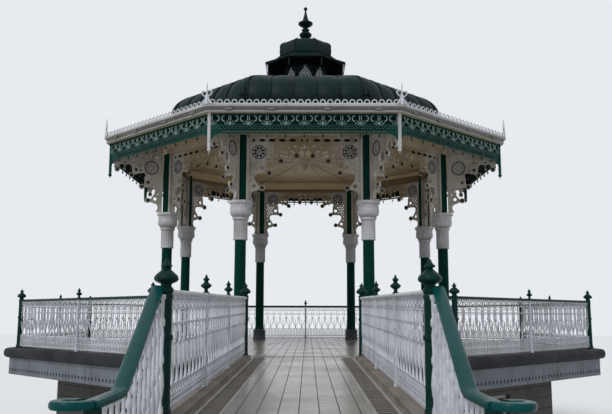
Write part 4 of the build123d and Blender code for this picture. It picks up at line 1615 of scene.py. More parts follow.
@dataclass
class Frets:
    """Pierced frets between the columns, and the brackets that repeat half a fret under the eaves."""

    shop: Workshop
    reach: float = 4.14
    spring: float = 3.945
    beam_base: float = 5.725
    beam_top: float = 5.915
    post: float = 0.14
    flank: float = 0.07
    flank_depth: float = 0.1
    thickness: float = 0.026
    bracket_shift: float = 0.06
    bracket_flank_depth: float = 0.045
    lace_pitch: float = 0.088
    lace_top: float = 5.53
    crown_low: float = 5.1
    oval_level: float = 5.612
    oval_height: float = 0.042
    cusps: Profile = ((1.15, 4.29), (0.956, 4.695), (0.64, 5.028), (0.22, 5.172))
    eyes: tuple[tuple[float, float, float], ...] = (
        (1.367, 4.342, 0.055), (1.148, 4.84, 0.06), (0.778, 5.2, 0.055), (0.23, 5.43, 0.03),
    )
    drops: Profile = ((0.436, 5.2), (0.0, 5.185))
    ovals: Profile = ((0.075, 0.03), (0.33, 0.1), (0.61, 0.1), (0.885, 0.1), (1.16, 0.09), (1.39, 0.045))
    roundel: Point = (1.236, 5.285)
    roundel_radius: float = 0.205
    edge: Profile = (
        (1.4, 3.95), (1.44, 4.0), (1.462, 4.09), (1.43, 4.18), (1.31, 4.225), (1.2, 4.27), (1.19, 4.3),
        (1.25, 4.34), (1.29, 4.4), (1.34, 4.47), (1.375, 4.54), (1.375, 4.61), (1.33, 4.67), (1.25, 4.69),
        (1.1, 4.695), (1.0, 4.68), (0.99, 4.72), (1.04, 4.79), (1.052, 4.88), (1.052, 4.97), (1.075, 5.04),
        (1.06, 5.1), (1.0, 5.13), (0.92, 5.115), (0.8, 5.085), (0.69, 5.03), (0.67, 5.06), (0.68, 5.13),
        (0.67, 5.22), (0.66, 5.3), (0.62, 5.35), (0.55, 5.37), (0.46, 5.34), (0.41, 5.34), (0.34, 5.36),
        (0.29, 5.32), (0.25, 5.24), (0.24, 5.19), (0.2, 5.19), (0.19, 5.24), (0.15, 5.31), (0.1, 5.34),
        (0.04, 5.33), (0.015, 5.29),
    )

    def build(self) -> None:
        """Builds the arch frets and the brackets with their flowers, drops and roundels."""
        for kind, replaced, rows, paint, ground in (
            ("arch", "arch_frets", EVERY_SIDE, FRET_PLATE, ROUNDEL_DARK),
            ("bracket", "eaves_brackets", Repeat(first=HALF_TURN), FRET_WHITE, ROUNDEL_BROWN),
        ):
            whole = kind == "arch"
            flowers, hearts, roundel, tracery = self._ornaments((-1, 1) if whole else (1,))
            for part, cast, finish, slot in (
                ("pierced", self._plate(whole), paint, "fret_white"),
                ("flowers", flowers, paint, "fret_white"),
                ("hearts", hearts, FLOWER_HEART, "column_green"),
                ("roundels", roundel, ground, "column_green"),
                ("tracery", tracery, CAPITAL_WHITE, "fret_white"),
            ):
                self.shop.repeat(f"{kind}_fret_{part}", self._placed(cast, whole), rows, finish, slot,
                                 [replaced] if part == "pierced" else [])

    def _placed(self, cast: Casting, whole: bool) -> Casting:
        """A casting in its bay or, for a bracket, turned outwards along the corner.

        Args:
            cast: The casting, drawn in its bay.
            whole: Whether it belongs to an arch.

        Returns:
            The placed casting.
        """
        if whole:
            return cast.moved((0, -self.reach, DECK_LEVEL))
        arm = corner_radius(self.reach) + half_side(self.reach) + self.bracket_shift
        points = [(arm - x, -y, z + DECK_LEVEL) for x, y, z in cast.points]
        return Casting(points, cast.faces).moved(turn=-math.pi / 2)

    def _plate(self, whole: bool) -> Casting:
        """The pierced plate of a bay, or of half a bay up to the soffit for a bracket.

        Args:
            whole: Whether the plate is an arch's.

        Returns:
            The plate with its edges.
        """
        foot = half_side(self.reach) - self.post
        top = self.beam_base if whole else self.beam_top
        curve = smooth_path(self.edge, 2)
        if whole:
            sides = (1, -1)
            other = [*mirrored(curve[::-1]), (-foot, self.spring), (-foot, top)]
        else:
            sides = (1,)
            other = [(0.0, curve[-1][1]), (0.0, top)]
        outline = [*curve, *other, (foot, top), (foot, self.spring)]
        holes, solid = [], []
        for side in sides:
            for x, z, radius in self.eyes:
                holes.append(circle((side * x, z), radius, 10))
                solid.append((side * x, z, radius + 0.045))
            for x, width in self.ovals:
                holes.append(oval((side * x, self.oval_level), width, self.oval_height, 10))
            holes.append(circle((side * self.roundel[0], self.roundel[1]), self.roundel_radius - 0.01, 20))
            solid.append((side * self.roundel[0], self.roundel[1], self.roundel_radius + 0.055))
        holes.extend(self._lace(outline, solid, foot))
        plate = Casting()
        plate.wall([outline, *holes], self.thickness)
        depth = self.flank_depth if whole else self.bracket_flank_depth
        for side in sides:
            low, high = sorted((side * (foot - self.flank), side * foot))
            plate.block((low, -depth, self.spring - 0.02), (high, depth, top))
            path = curve if side > 0 else mirrored(curve)
            plate.bar(path, 0.026, 0.05, ridged=True)
            for x, z, radius in self.eyes:
                plate.hoop((side * x, z), radius + 0.008, 0.018, 0.044, 8)
        for height, width in ((5.545, 0.028), (5.69, 0.06)):
            plate.bar([(-foot if whole else 0.0, height), (foot, height)], width, 0.06)
        return plate

    def _lace(self, outline: Sequence[Point], solid: Sequence[tuple[float, float, float]],
              foot: float) -> list[list[Point]]:
        """Four-leaved piercings on a staggered grid, larger towards the crown.

        Args:
            outline: Outer edge of the plate.
            solid: Round places that stay whole, as (x, z, radius).
            foot: Half width of the plate.

        Returns:
            The outlines of the piercings.
        """
        holes = []
        pitch = self.lace_pitch
        for row in range(int((self.lace_top - self.spring) / (pitch * 0.8))):
            z = self.spring + 0.05 + row * pitch * 0.8
            for column in range(-20, 21):
                x = (column + 0.5 * (row % 2)) * pitch
                radius = 0.024 if abs(x) > 1.15 and z < self.crown_low else 0.037
                room = radius + 0.026
                if z > self.lace_top - room or abs(x) > foot - self.flank - radius:
                    continue
                if not inside((x, z), outline) or edge_distance((x, z), outline) < room:
                    continue
                if any(math.hypot(x - a, z - b) < c + radius for a, b, c in solid):
                    continue
                turn = math.radians(45 * ((row + column) % 2))
                holes.append([polar((x, z), radius * (1 if k % 2 else 0.66), turn + k * math.pi / 4)
                              for k in range(8)])
        return holes

    def _ornaments(self, sides: Sequence[int]) -> tuple[Casting, Casting, Casting, Casting]:
        """Flowers with dark hearts on the cusps, small drops, dark roundels and their white tracery, and on
        an arch a dark strip of painted shade behind the frieze ovals.

        Args:
            sides: The halves that are fitted, 1 or -1.

        Returns:
            Flowers, hearts, roundels and tracery.
        """
        flowers, hearts, roundel, tracery = Casting(), Casting(), Casting(), Casting()
        for side in sides:
            for x, z in self.cusps:
                petals = [polar((side * x, z), 0.075 * (1 + 0.16 * math.cos(8 * t)), t)
                          for t in (math.pi * k / 12 for k in range(24))]
                flowers.wall([petals], 0.05)
                hearts.ball((side * x, 0, z), 0.061, 12, 8)
            for x, z in self.drops:
                if x or side > 0:
                    flowers.bar([(side * x, z + 0.03), (side * x, z + 0.15)], 0.022, 0.022)
                    flowers.turned([(-0.05, 0.006), (-0.03, 0.02), (0, 0.034), (0.025, 0.026), (0.045, 0.01)],
                                   8, (side * x, 0, z))
            self._rosette(roundel, tracery, (side * self.roundel[0], self.roundel[1]), len(sides) > 1)
        if len(sides) > 1:
            # Painted shade: a dark strip fills the frieze ovals of an arch.
            roundel.block((-1.5, -0.003, 5.56), (1.5, 0.003, 5.665))
            for x in (-0.25, 0.0, 0.25):
                tracery.ball((x, 0, 5.46), 0.05, 12, 6)
        else:
            for x, width in self.ovals[1:-1]:
                tracery.wall([oval((x, self.oval_level), width * 0.7, 0.034, 12)], 0.034)
        return flowers, hearts, roundel, tracery

    def _rosette(self, ground: Casting, tracery: Casting, centre: Point, dark: bool) -> None:
        """An eight-leaved rosette: dark with thin white leaves, or white inside a dark lobed line.

        Args:
            ground: Takes the dark parts.
            tracery: Takes the white parts.
            centre: Middle of the rosette.
            dark: Whether the ground is dark.
        """
        cx, cz = centre
        edge = []
        for k in range(48):
            angle = math.pi * k / 24
            radius = self.roundel_radius * (1 - 0.09 * abs(math.sin(4 * angle)) ** 4)
            edge.append(polar(centre, radius, angle))
        if dark:
            eyes = []
            for index in range(8):
                angle = math.pi * index / 4
                eyes.extend(circle(polar(centre, reach, angle), size, 6)
                            for reach, size in ((0.1, 0.014), (0.165, 0.019)))
            ground.wall([edge, *eyes], 0.016)
        else:
            ground.bar(edge, 0.03, 0.05, closed=True)
            tracery.wall([edge], 0.02)
        for index in range(8):
            angle = math.radians(45 * index + 22.5)
            leaf = []
            for along, across in ((0.05, 0.0), (0.09, 0.036), (0.135, 0.042), (0.178, 0.0), (0.135, -0.042),
                                  (0.09, -0.036)):
                leaf.append((cx + along * math.cos(angle) - across * math.sin(angle),
                             cz + along * math.sin(angle) + across * math.cos(angle)))
            (tracery if dark else ground).bar(leaf, 0.021 if dark else 0.012, 0.03 if dark else 0.024,
                                              closed=True)
            if dark:
                x, z = polar(centre, 0.2, angle)
                ground.ball((x, 0, z), 0.024, 6, 4)
        tracery.hoop(centre, 0.03, 0.016, 0.034, 8)


# ---------------------------------------------------------------- eaves


@dataclass
class Eaves:
    """Ceiling, cornice, valances, drops, cresting and pinnacles."""

    shop: Workshop
    cornice_reach: float = CORNICE_REACH
    soffit: float = SOFFIT_LEVEL
    cornice_height: float = 0.19
    beam_reach: float = 4.06
    valance_reach: float = 5.76
    valance_units: int = 10
    drop: float = 0.04
    drop_foot: float = -0.915
    cresting_reach: float = 5.905
    cresting_pitch: float = 0.183
    gutter: Profile = (
        (0.0, 0.082), (0.006, 0.062), (0.016, 0.05), (0.03, 0.05), (0.042, 0.06), (0.046, 0.078),
        (0.056, 0.078), (0.075, 0.066), (0.1, 0.044), (0.125, 0.028), (0.134, 0.028), (0.137, 0.0),
        (0.172, 0.0), (0.176, 0.026), (0.19, 0.026),
    )
    cove: Profile = (
        (0.058, 0.08), (0.06, 0.074), (0.075, 0.064), (0.1, 0.042), (0.125, 0.026), (0.132, 0.026),
        (0.133, 0.08),
    )
    collars: tuple[float, ...] = (-1.9, -0.84, 0.58, 1.85)

    def build(self) -> None:
        """Builds the eaves from the ceiling outwards."""
        self._ceiling()
        self._cornice()
        self._valance()
        self._drops()
        self._cresting()
        self._pinnacles()

    def _ceiling(self) -> None:
        """Board finish, hip battens and a rose under the ceiling."""
        self.shop.dress("ceiling", CEILING_BOARDS)
        self.shop.dress("eaves_soffit", CEILING_BOARDS)
        self.shop.dress("ring_beam", BEAM_PAINT)
        battens, rays, lining, rose = Casting(), Casting(), Casting(), Casting()
        level = self.soffit - 0.035
        battens.rail([corner_point(0.3, level), corner_point(corner_radius(self.beam_reach), level)],
                     [(-0.03, 0), (0.03, 0), (0.04, 0.035), (-0.04, 0.035)])
        self.shop.repeat("ceiling_battens", battens, EVERY_SIDE, BEAM_PAINT, "boarded_ceiling")
        level = self.soffit - 0.022
        rays.rail([(0, -0.25, level), (0, -2.2, level)],
                  [(-0.02, 0), (0.02, 0), (0.03, 0.022), (-0.03, 0.022)])
        both = rays.moved(turn=HALF_TURN / 2).joined(rays.moved(turn=-HALF_TURN / 2))
        self.shop.repeat("ceiling_rays", both, EVERY_SIDE, BEAM_PAINT, "boarded_ceiling")
        for low, depth in ((-0.37, 0.03), (-0.25, 0.024), (-0.13, 0.018)):
            reach = self.beam_reach - depth
            lining.block((-half_side(reach), -reach - 0.01, self.soffit + low),
                         (half_side(reach), -reach, self.soffit + low + 0.118))
        self.shop.repeat("beam_lining_boards", lining, EVERY_SIDE, CEILING_BOARDS, "boarded_ceiling")
        rose.turned([(-0.3, 0.02), (-0.27, 0.07), (-0.22, 0.1), (-0.17, 0.1), (-0.13, 0.16), (-0.08, 0.24),
                     (-0.04, 0.36), (-0.02, 0.42), (0, 0.43)], 32, (0, 0, self.soffit))
        self.shop.single("ceiling_rose", rose, BEAM_PAINT, "boarded_ceiling")

    def _cornice(self) -> None:
        """Moulded gutter with collars at its joints; the cove and the collars are painted darker as shade."""
        r, z = corner_radius(self.cornice_reach), self.soffit
        inset = corner_radius(1.0)
        cast, cove, collar = Casting(), Casting(), Casting()
        outer = [corner_ring(r - depth * inset, z + height) for height, depth in self.gutter]
        inner_radius = corner_radius(self.cornice_reach - 0.09)
        inner = [corner_ring(inner_radius, z + height) for height in (self.cornice_height, 0.0)]
        cast.rings([*outer, *inner], closed=True)
        self.shop.single("cornice_moulded", cast, CORNICE_WHITE, "fret_white", ["cornice"])
        # Painted shade: a darker strip over the cove.
        cove.rings([corner_ring(r - depth * inset, z + height) for height, depth in self.cove], closed=True)
        self.shop.single("cornice_cove", cove, CORNICE_SHADE, "fret_white")
        y = -self.cornice_reach
        for x in self.collars:
            collar.block((x - 0.09, y + 0.022, z + 0.055), (x + 0.09, y + 0.085, z + 0.132))
        self.shop.repeat("gutter_collars", collar, EVERY_SIDE, CORNICE_SHADE, "fret_white")

    def _valance(self) -> None:
        """Cast lace: hooks, leaves, an interlaced mesh, a border and small hanging balls."""
        half, count = half_side(self.valance_reach) - self.drop, self.valance_units
        pitch = 2 * half / count
        lace, relief = self._lace(pitch)
        first = -half + pitch / 2
        row = Repeat.row(count, (first, -self.valance_reach, self.soffit), pitch)
        self.shop.repeat("valances_lace", lace, row, VALANCE_GREEN, "valance_green", ["valances"])
        # Painted highlight: the relief is painted pale.
        self.shop.repeat("valance_relief", relief, row, VALANCE_PALE, "valance_green")
        back, ends, spikes = Casting(), Casting(), Casting()
        # Painted shade: a near-black plate just behind the lace's upper part.
        back.block((-half, 0.006, -0.44), (half, 0.01, 0.0))
        place = (0, -self.valance_reach, self.soffit)
        self.shop.repeat("valance_backing", back.moved(place), EVERY_SIDE, VALANCE_BACK, "valance_green")
        for side in (-1, 1):
            ends.wall([[(side * half - side * inset, z) for inset, z in (
                (0, -0.69), (0.03, -0.66), (0.06, -0.6), (0.12, -0.55), (0.2, -0.52), (0.27, -0.505),
                (0.26, -0.4), (0.17, -0.29), (0.06, -0.23), (0, -0.22),
            )]], 0.02)
        spikes.turned([(-0.63, 0.004), (-0.6, 0.018), (-0.575, 0.03), (-0.55, 0.018), (-0.54, 0.009),
                       (-0.505, 0.009)], 6)
        row = Repeat.row(count - 1, (first + pitch / 2, -self.valance_reach, self.soffit), pitch)
        self.shop.repeat("valance_pendants", spikes, row, VALANCE_GREEN, "valance_green")
        self.shop.repeat("valance_corner_ends", ends.moved(place), EVERY_SIDE, VALANCE_GREEN, "valance_green")

    def _lace(self, pitch: float) -> tuple[Casting, Casting]:
        """One unit of the valance, hanging from z = 0: its lace and its relief, which is painted pale as a
        highlight.

        Args:
            pitch: Length of the unit.

        Returns:
            The lace and the relief.
        """
        cast, relief = Casting(), Casting()
        half = pitch / 2
        depth = 0.018
        for level, width in ((-0.015, 0.03), (-0.052, 0.012), (-0.215, 0.012), (-0.43, 0.014), (-0.5, 0.03)):
            cast.bar([(-half, level), (half, level)], width, depth + 0.008)
        for side in (-1, 1):
            hook = [(side * (0.074 + 0.042 * a), -0.13 + 0.068 * b) for a, b in arc((0, 0), 1, 55, 305, 8)]
            relief.bar(hook, 0.03, 0.034, -0.004, ridged=True)
            for x, foot, head in ((half - 0.024, -0.185, -0.055), (half - 0.012, -0.3, -0.21)):
                relief.bar([(side * x, foot), (side * x, head)], 0.018, 0.03, -0.004)
            for low, high in (((0.02, -0.275), (0.085, -0.19)), ((0.05, -0.3), (0.14, -0.235))):
                relief.bar([(side * (half - low[0]), low[1]), (side * (half - high[0]), high[1])], 0.022,
                           0.032, -0.004, ridged=True)
            for radius in (0.07, 0.125, 0.18):
                cast.bar([(side * (half - radius * a), -0.43 + radius * b * 0.9)
                          for a, b in arc((0, 0), 1, 4, 90, 5)], 0.016, 0.026, -0.002)
        for radius in (0.06, 0.115, 0.17):
            cast.bar([(radius * a, -0.43 + radius * b * 0.9) for a, b in arc((0, 0), 1, 4, 176, 8)],
                     0.016, 0.026, -0.002)
        for index in range(6):
            x = (index - 2.5) * pitch / 6
            for row in range(3):
                relief.ball((x + (row % 2 - 0.5) * pitch / 12, -0.012, -0.3 - 0.045 * row), 0.011, 5, 3)
        for index in range(4):
            x = (index - 1.5) * pitch / 4
            cast.hoop((x, -0.464), 0.02, 0.013, depth, 6)
            cast.hoop((x + pitch / 8, -0.466), 0.012, 0.01, depth, 6)
        return cast, relief

    def _drops(self) -> None:
        """Square boards at the corners with a knob and a tip, white on the two front corners and dark green,
        as painted shade, on the others.
        """
        cast, low = Casting(), self.drop_foot
        cast.turned([(low + 0.03, 0.04), (low + 0.04, 0.052), (-0.08, 0.052), (-0.05, 0.058), (0, 0.058)], 4,
                    start=HALF_TURN + math.pi / 4)
        cast.turned([(-0.115, 0.004), (-0.1, 0.012), (-0.075, 0.016), (-0.06, 0.03), (-0.04, 0.05),
                     (-0.01, 0.054), (0.01, 0.046), (0.02, 0.03), (0.035, 0.032)], 16, (0, 0, low))
        corner = cast.moved((half_side(self.valance_reach), -self.valance_reach, self.soffit))
        self.shop.repeat("corner_drops_front", corner, FRONT_CORNERS, CAPITAL_WHITE, "fret_white",
                         ["corner_drops"])
        # Painted shade: the same drops in dark green on the corners away from the front.
        self.shop.repeat("corner_drops_green_shade", corner, OTHER_CORNERS, VALANCE_GREEN, "valance_green")

    def _cresting(self) -> None:
        """A row of open loops along the gutter."""
        half = half_side(self.cresting_reach) - 0.045
        count = round(2 * half / self.cresting_pitch)
        pitch = 2 * half / count
        cast = Casting()
        cast.bar([(0.07, 0.012), *arc((0, 0.068), 0.058, -10, 190, 8), (-0.07, 0.012)], 0.03, 0.028,
                 ridged=True)
        cast.bar([(-pitch / 2, 0.014), (pitch / 2, 0.014)], 0.028, 0.024)
        cast.bar(smooth_path([(-pitch / 2, 0.05), (-pitch / 4, 0.028), (0, 0.03), (pitch / 4, 0.028),
                              (pitch / 2, 0.05)], 1), 0.016, 0.02)
        start = (-half + pitch / 2, -self.cresting_reach, self.soffit + self.cornice_height)
        self.shop.repeat("roof_cresting_loops", cast, Repeat.row(count, start, pitch), CRESTING_WHITE,
                         "fret_white", ["roof_cresting"])

    def _pinnacles(self) -> None:
        """Slender spikes with two arms and a splayed foot at each corner."""
        cast = Casting()
        cast.turned([(0, 0.045), (0.14, 0.045), (0.15, 0.034), (0.3, 0.022), (0.34, 0.03), (0.36, 0.022),
                     (0.5, 0.018), (0.575, 0.004)], 12)
        for side in (-1, 1):
            cast.bar(smooth_path([(side * 0.15, 0.012), (side * 0.085, 0.075), (side * 0.035, 0.17),
                                  (side * 0.012, 0.27)], 3), 0.036, 0.026)
            cast.bar(smooth_path([(0, 0.2), (side * 0.075, 0.225), (side * 0.13, 0.275), (side * 0.14, 0.345),
                                  (side * 0.1, 0.36), (side * 0.085, 0.325)], 3), 0.026, 0.024)
            cast.bar([(side * 0.07, 0.03), (0, 0.13)], 0.022, 0.022)
        level = self.soffit + self.cornice_height
        corner = cast.moved((0, -corner_radius(self.cresting_reach), level)).moved(turn=HALF_TURN)
        self.shop.repeat("corner_pinnacles_armed", corner, EVERY_SIDE, CRESTING_WHITE, "fret_white",
                         ["corner_pinnacles"])


# ---------------------------------------------------------------- roof and lantern


@dataclass
class Roof:
    """Bell-shaped roof of sheet with rolls on its seams and hips."""

    shop: Workshop
    seams: tuple[float, ...] = (-1.6, -0.96, -0.32, 0.32, 0.96, 1.6)
    roll: float = 0.036
    hip_roll: float = 0.05
    bow: float = 0.055
    samples: int = 28
    profile: Profile = (
        (9.96, 4.3), (10.08, 4.099), (10.3, 4.12), (10.542, 4.058), (10.736, 3.939), (10.901, 3.741),
        (11.017, 3.494), (11.225, 2.88), (11.45, 2.173), (11.68, 1.451), (11.9, 0.76),
    )

    def build(self) -> None:
        """Builds the shell, the rolls and the skirt's finish."""
        levels = smooth_path(self.profile, 4)
        self._sheet(levels)
        self._rolls(levels)
        self.shop.dress("roof_skirt", ROOF_SHEET)

    def _sheet(self, levels: Sequence[Point]) -> None:
        """The shell, whose sheets bow outwards between the seams.

        Args:
            levels: The roof's profile as (height, reach).
        """
        shell, rings, width = Casting(), [], 2 * self.seams[3]
        for index, (height, reach) in enumerate(levels):
            before, after = levels[max(index - 1, 0)], levels[min(index + 1, len(levels) - 1)]
            rise, run = after[0] - before[0], before[1] - after[1]
            span = math.hypot(rise, run)
            half = half_side(reach)
            ring = []
            for k in range(SIDES):
                c, s = math.cos(TURN * k), math.sin(TURN * k)
                for step in range(self.samples):
                    x = half * (2 * step / self.samples - 1)
                    bow = self.bow * abs(math.sin(math.pi * (x - self.seams[3]) / width))
                    bow *= min(1.0, (half - abs(x)) / 0.15)
                    y = -reach - bow * rise / span
                    ring.append((x * c - y * s, x * s + y * c, height + bow * run / span))
            rings.append(ring)
        shell.rings(rings)
        self.shop.single("main_roof_sheet", shell, ROOF_SHEET, "roof_lead", ["main_roof"])

    def _rolls(self, levels: Sequence[Point]) -> None:
        """The rolls over the seams and along the hips.

        Args:
            levels: The roof's profile as (height, reach).
        """
        rolls = Casting()
        for x in self.seams:
            path = [(x, -reach - 0.012, height + 0.02) for height, reach in levels
                    if half_side(reach) > abs(x) + 0.02]
            if len(path) > 2:
                rolls.tube(path, self.roll, 8)
        hip = [corner_point(corner_radius(reach) - 0.004, height + 0.012) for height, reach in levels]
        rolls.tube(hip, self.hip_roll, 8)
        self.shop.repeat("main_roof_rolls", rolls, EVERY_SIDE, ROOF_SHEET, "roof_lead")


@dataclass
class Lantern:
    """Lattice windows, eaves, cap and finial of the lantern."""

    shop: Workshop
    reach: float = 0.65
    foot: float = 11.9
    height: float = 0.5
    lattice_pitch: float = 0.078
    finial_foot: float = 13.345
    eaves: Profile = (
        (0, 0.71), (0.02, 1.24), (0.045, 1.315), (0.09, 1.32), (0.1, 1.3), (0.16, 1.17), (0.23, 1.02),
        (0.3, 0.92), (0.385, 0.83),
    )
    cap: Profile = (
        (0.385, 0.82), (0.4, 0.845), (0.43, 0.85), (0.44, 0.83), (0.56, 0.842), (0.72, 0.838), (0.8, 0.8),
        (0.86, 0.72), (0.91, 0.55), (0.945, 0.3),
    )
    shade: Profile = ((0.0, 0.68), (-0.004, 0.68), (0.014, 1.235), (0.018, 1.235))
    finial: Profile = (
        (0, 0.2), (0.05, 0.17), (0.14, 0.15), (0.19, 0.12), (0.21, 0.15), (0.25, 0.19), (0.3, 0.212),
        (0.35, 0.19), (0.39, 0.14), (0.41, 0.1), (0.44, 0.1), (0.46, 0.13), (0.49, 0.132), (0.51, 0.1),
        (0.54, 0.075), (0.57, 0.075), (0.59, 0.12), (0.63, 0.19), (0.67, 0.235), (0.7, 0.25), (0.73, 0.24),
        (0.76, 0.19), (0.79, 0.13), (0.85, 0.095), (0.96, 0.062), (1.08, 0.037), (1.16, 0.026), (1.18, 0.03),
        (1.2, 0.052), (1.23, 0.066), (1.26, 0.06), (1.285, 0.035), (1.3, 0.012), (1.31, 0.004),
    )

    def build(self) -> None:
        """Builds the lantern from the drum up."""
        self.shop.dress("lantern_drum", LANTERN_GREEN)
        self._lattice()
        self._roof()
        self._finial()

    def _lattice(self) -> None:
        """White diamond lattice behind bell-shaped openings."""
        cast, arch = Casting(), Casting()
        half, middle = 0.24, self.foot + self.height / 2
        low, high = middle - half, middle + half
        for lean in (-1, 1):
            for index in range(-6, 7):
                offset = index * self.lattice_pitch * math.sqrt(2)
                points = [(x, middle + lean * x + offset) for x in (-half, half)]
                clipped = self._clip(points, half, low, high)
                if clipped:
                    cast.bar(clipped, 0.027, 0.008, -self.reach - 0.012 + 0.003 * lean)
        self.shop.repeat("lantern_lattice_fine", cast, EVERY_SIDE, CRESTING_WHITE, "fret_white",
                         ["lantern_lattice"])
        outer = [(-0.255, low - 0.01), (0.255, low - 0.01), (0.255, high + 0.01), (-0.255, high + 0.01)]
        flank = [(-0.235, low + 0.005), (-0.2, low + 0.15), (-0.14, low + 0.28), (-0.07, low + 0.38)]
        bell = smooth_path([*flank, (0.0, high - 0.015), *mirrored(flank[::-1])], 3)
        arch.wall([outer, bell], 0.016, -self.reach - 0.026)
        self.shop.repeat("lantern_window_arches", arch, EVERY_SIDE, LANTERN_GREEN, "lantern_green")

    @staticmethod
    def _clip(points: list[Point], half: float, low: float, high: float) -> Optional[list[Point]]:
        """The part of a sloping bar inside the window.

        Args:
            points: Both ends of the bar.
            half: Half width of the window.
            low: Foot of the window.
            high: Head of the window.

        Returns:
            The ends of the part inside, or None for a scrap.
        """
        (x0, z0), (x1, z1) = points
        start, end = 0.0, 1.0
        for a, b, limit_low, limit_high in ((x0, x1, -half, half), (z0, z1, low, high)):
            if abs(b - a) < 1e-9:
                continue
            t0, t1 = sorted(((limit_low - a) / (b - a), (limit_high - a) / (b - a)))
            start, end = max(start, t0), min(end, t1)
        if end - start < 0.05:
            return None
        return [(x0 + t * (x1 - x0), z0 + t * (z1 - z0)) for t in (start, end)]

    def _roof(self) -> None:
        """Eaves slab, roof skirt and cushion cap with smooth hips, corner drops and a near-black ring under
        the eaves as painted shade.
        """
        head = self.foot + self.height
        eaves, cap = raised(self.eaves, head), raised(self.cap, head)
        for name, profile, finish, replaced in (
            ("lantern_roof_sheet", eaves, LANTERN_GREEN, "lantern_roof"),
            ("lantern_cap_sheet", cap, ROOF_SHEET, "lantern_cap"),
        ):
            cast = Casting()
            cast.rings([corner_ring(corner_radius(reach), level) for level, reach in profile])
            self.shop.single(name, cast, finish, "lantern_green", [replaced])
        drop, shade, hips = Casting(), Casting(), Casting()
        drop.turned([(-0.24, 0.008), (-0.22, 0.026), (-0.19, 0.03), (-0.16, 0.024), (0.04, 0.03)], 10,
                    (0, -corner_radius(1.25), head))
        corner = drop.moved(turn=HALF_TURN)
        # Painted shade: the drops on the two front corners are dark green, the same drops elsewhere white.
        self.shop.repeat("lantern_corner_drops_front_shade", corner, FRONT_CORNERS, LANTERN_GREEN, "lantern_green")
        self.shop.repeat("lantern_corner_drops", corner, OTHER_CORNERS, CRESTING_WHITE, "fret_white")
        # Painted shade: a matt near-black ring just under the eaves.
        shade.rings([corner_ring(corner_radius(reach), head + height) for height, reach in self.shade],
                    closed=True)
        self.shop.single("lantern_soffit", shade, LANTERN_SHADE, "lantern_green")
        for profile in (eaves[4:], cap[3:]):
            hips.tube([corner_point(corner_radius(reach), level) for level, reach in profile], 0.02, 6)
        self.shop.repeat("lantern_hip_rolls", hips, EVERY_SIDE, LANTERN_GREEN, "lantern_green")

    def _finial(self) -> None:
        """The turned finial."""
        cast = Casting()
        cast.turned(self.finial, 32, (0, 0, self.finial_foot))
        self.shop.single("finial_turned", cast, LANTERN_GREEN, "lantern_green", ["finial"])


# ---------------------------------------------------------------- platform


@dataclass
class Platform:
    """Coping, pierced fascia, deck and undercroft."""

    shop: Workshop
    fascia_reach: float = 8.04
    fascia_top: float = 3.14
    fascia_drop: float = 0.44
    bridge_half: float = 1.43
    piercing_pitch: float = 0.16
    piercing: Profile = (
        (-0.045, -0.045), (-0.02, -0.05), (0, 0), (0.02, -0.05), (0.045, -0.045), (0.03, 0.02), (0, 0.05),
        (-0.03, 0.02),
    )

    def build(self) -> None:
        """Builds the fascia and dresses the construction nodes."""
        for node, finish in (
            ("platform_slab", DECK_TILES),
            ("platform_coping", COPING_STONE),
            ("undercroft_floor", STEP_STONE),
            ("undercroft_walls_cardinal", MASONRY),
            ("undercroft_walls_diagonal", MASONRY),
            ("undercroft_door_frames", FRAME_PAINT),
            ("undercroft_doors", DOOR_BOARDS),
        ):
            self.shop.dress(node, finish)
        self._fascia()

    def _fascia(self) -> None:
        """The pierced plate of each side; the front side is open for the bridge."""
        half = half_side(self.fascia_reach) - 0.003
        self.shop.repeat("fascia_pierced", self._strip(-half, half), ALL_BUT_FRONT, FASCIA_PAINT,
                         "fret_white", ["fascia"])
        front = self._strip(-half, -self.bridge_half).joined(self._strip(self.bridge_half, half))
        self.shop.single("fascia_pierced_front", front, FASCIA_PAINT, "fret_white")

    def _strip(self, start: float, end: float) -> Casting:
        """A run of the front side's plate, with a row of small piercings and three beads.

        Args:
            start: Its left end on X.
            end: Its right end on X.

        Returns:
            The plate and its beads.
        """
        cast = Casting()
        top, low = self.fascia_top, self.fascia_top - self.fascia_drop
        level, y = low + 0.13, -self.fascia_reach
        count = round((end - start) / self.piercing_pitch)
        pitch = (end - start) / count
        holes = [[(start + pitch * (index + 0.5) + x, level + z) for x, z in self.piercing]
                 for index in range(count)]
        cast.wall([[(start, low), (end, low), (end, top), (start, top)], *holes], 0.04, y + 0.022)
        for height, size in ((low + 0.02, 0.03), (top - 0.03, 0.04), (low + 0.22, 0.014)):
            cast.bar([(start, height), (end, height)], size, 0.05, y + 0.025)
        return cast


# ---------------------------------------------------------------- studio


@dataclass(frozen=True)
class Camera:
    """Camera at the viewing angle of the picture."""

    place: Point3 = (0.092, -23.8, 4.27)
    lens: float = 43.385
    pitch: float = 8.399
    roll: float = 0.1226
    yaw: float = -0.153

    def build(self) -> None:
        """Creates the camera and makes it the scene's."""
        pitch, roll, yaw = (math.radians(value) for value in (self.pitch, self.roll, self.yaw))
        ahead = Vector((math.sin(yaw) * math.cos(pitch), math.cos(yaw) * math.cos(pitch), math.sin(pitch)))
        level = Vector((math.cos(yaw), -math.sin(yaw), 0))
        upright = level.cross(ahead)
        right = level * math.cos(roll) + upright * math.sin(roll)
        up = upright * math.cos(roll) - level * math.sin(roll)
        data = bpy.data.cameras.new("camera")
        data.lens = self.lens
        data.sensor_width = 36
        data.clip_end = 500
        camera = bpy.data.objects.new("camera", data)
        turned = Matrix((right, up, -ahead)).transposed().to_4x4()
        camera.matrix_world = Matrix.Translation(self.place) @ turned
        bpy.context.scene.collection.objects.link(camera)
        bpy.context.scene.camera = camera


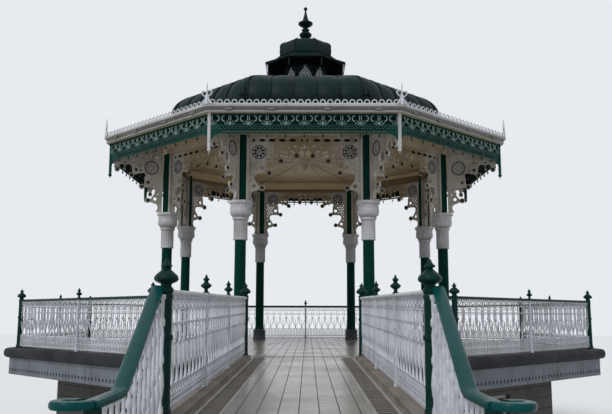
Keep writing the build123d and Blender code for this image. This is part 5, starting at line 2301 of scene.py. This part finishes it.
@dataclass(frozen=True)
class Studio:
    """Plain pale floor, even sky light and one soft lamp."""

    floor_radius: float = 160.0
    floor_level: float = -0.002
    floor_roughness: float = 0.85
    floor_colour: Point3 = (0.8, 0.8, 0.8)
    sky: Point3 = (0.6, 0.62, 0.65)
    backdrop: Point3 = (0.8, 0.83, 0.87)
    lamp_strength: float = 1.5
    lamp_angle: float = 14.0
    lamp_turn: Point3 = (48.0, 0.0, -38.0)

    def build(self) -> None:
        """Creates the floor, the world and the lamp."""
        self._floor()
        self._world()
        data = bpy.data.lights.new("soft_lamp", "SUN")
        data.energy = self.lamp_strength
        data.angle = math.radians(self.lamp_angle)
        lamp = bpy.data.objects.new("soft_lamp", data)
        lamp.rotation_euler = tuple(math.radians(value) for value in self.lamp_turn)
        bpy.context.scene.collection.objects.link(lamp)
        bpy.context.scene.view_settings.view_transform = "Standard"

    def _floor(self) -> None:
        """The pale floor under the bandstand."""
        mesh = bpy.data.meshes.new("floor")
        rim = [(x, y, self.floor_level) for x, y in circle((0, 0), self.floor_radius, 64)]
        mesh.from_pydata(rim, [], [tuple(range(len(rim)))])
        floor = bpy.data.objects.new("floor", mesh)
        material = bpy.data.materials.new("floor_paint")
        material.use_nodes = True
        shader = material.node_tree.nodes["Principled BSDF"]
        shader.inputs["Base Color"].default_value = (*self.floor_colour, 1)
        shader.inputs["Roughness"].default_value = self.floor_roughness
        mesh.materials.append(material)
        bpy.context.scene.collection.objects.link(floor)

    def _world(self) -> None:
        """Even light, with the backdrop's colour seen by the camera and by gloss."""
        world = bpy.data.worlds.new("studio")
        world.use_nodes = True
        world.node_tree.nodes.clear()
        sheet = NodeSheet(world.node_tree)
        seen = sheet.add("ShaderNodeLightPath")
        share = sheet.math("MAXIMUM", seen.outputs["Is Camera Ray"], seen.outputs["Is Glossy Ray"])
        colour = sheet.mix(share, (*self.sky, 1), (*self.backdrop, 1))
        background = sheet.add("ShaderNodeBackground", {"Color": colour})
        sheet.add("ShaderNodeOutputWorld", {"Surface": background.outputs[0]})
        bpy.context.scene.world = world


def main() -> None:
    """Builds the studio and every sub-assembly in order."""
    logging.basicConfig(level=logging.INFO, format="%(name)s %(message)s")
    Camera().build()
    Studio().build()
    shop = Workshop()
    for assembly in (
        Platform(shop),
        PlatformRailings(shop),
        Bridge(shop),
        Stairs(shop),
        Columns(shop),
        Frets(shop),
        Eaves(shop),
        Roof(shop),
        Lantern(shop),
    ):
        LOG.info("building %s", type(assembly).__name__)
        assembly.build()


if __name__ == "__main__":
    main()
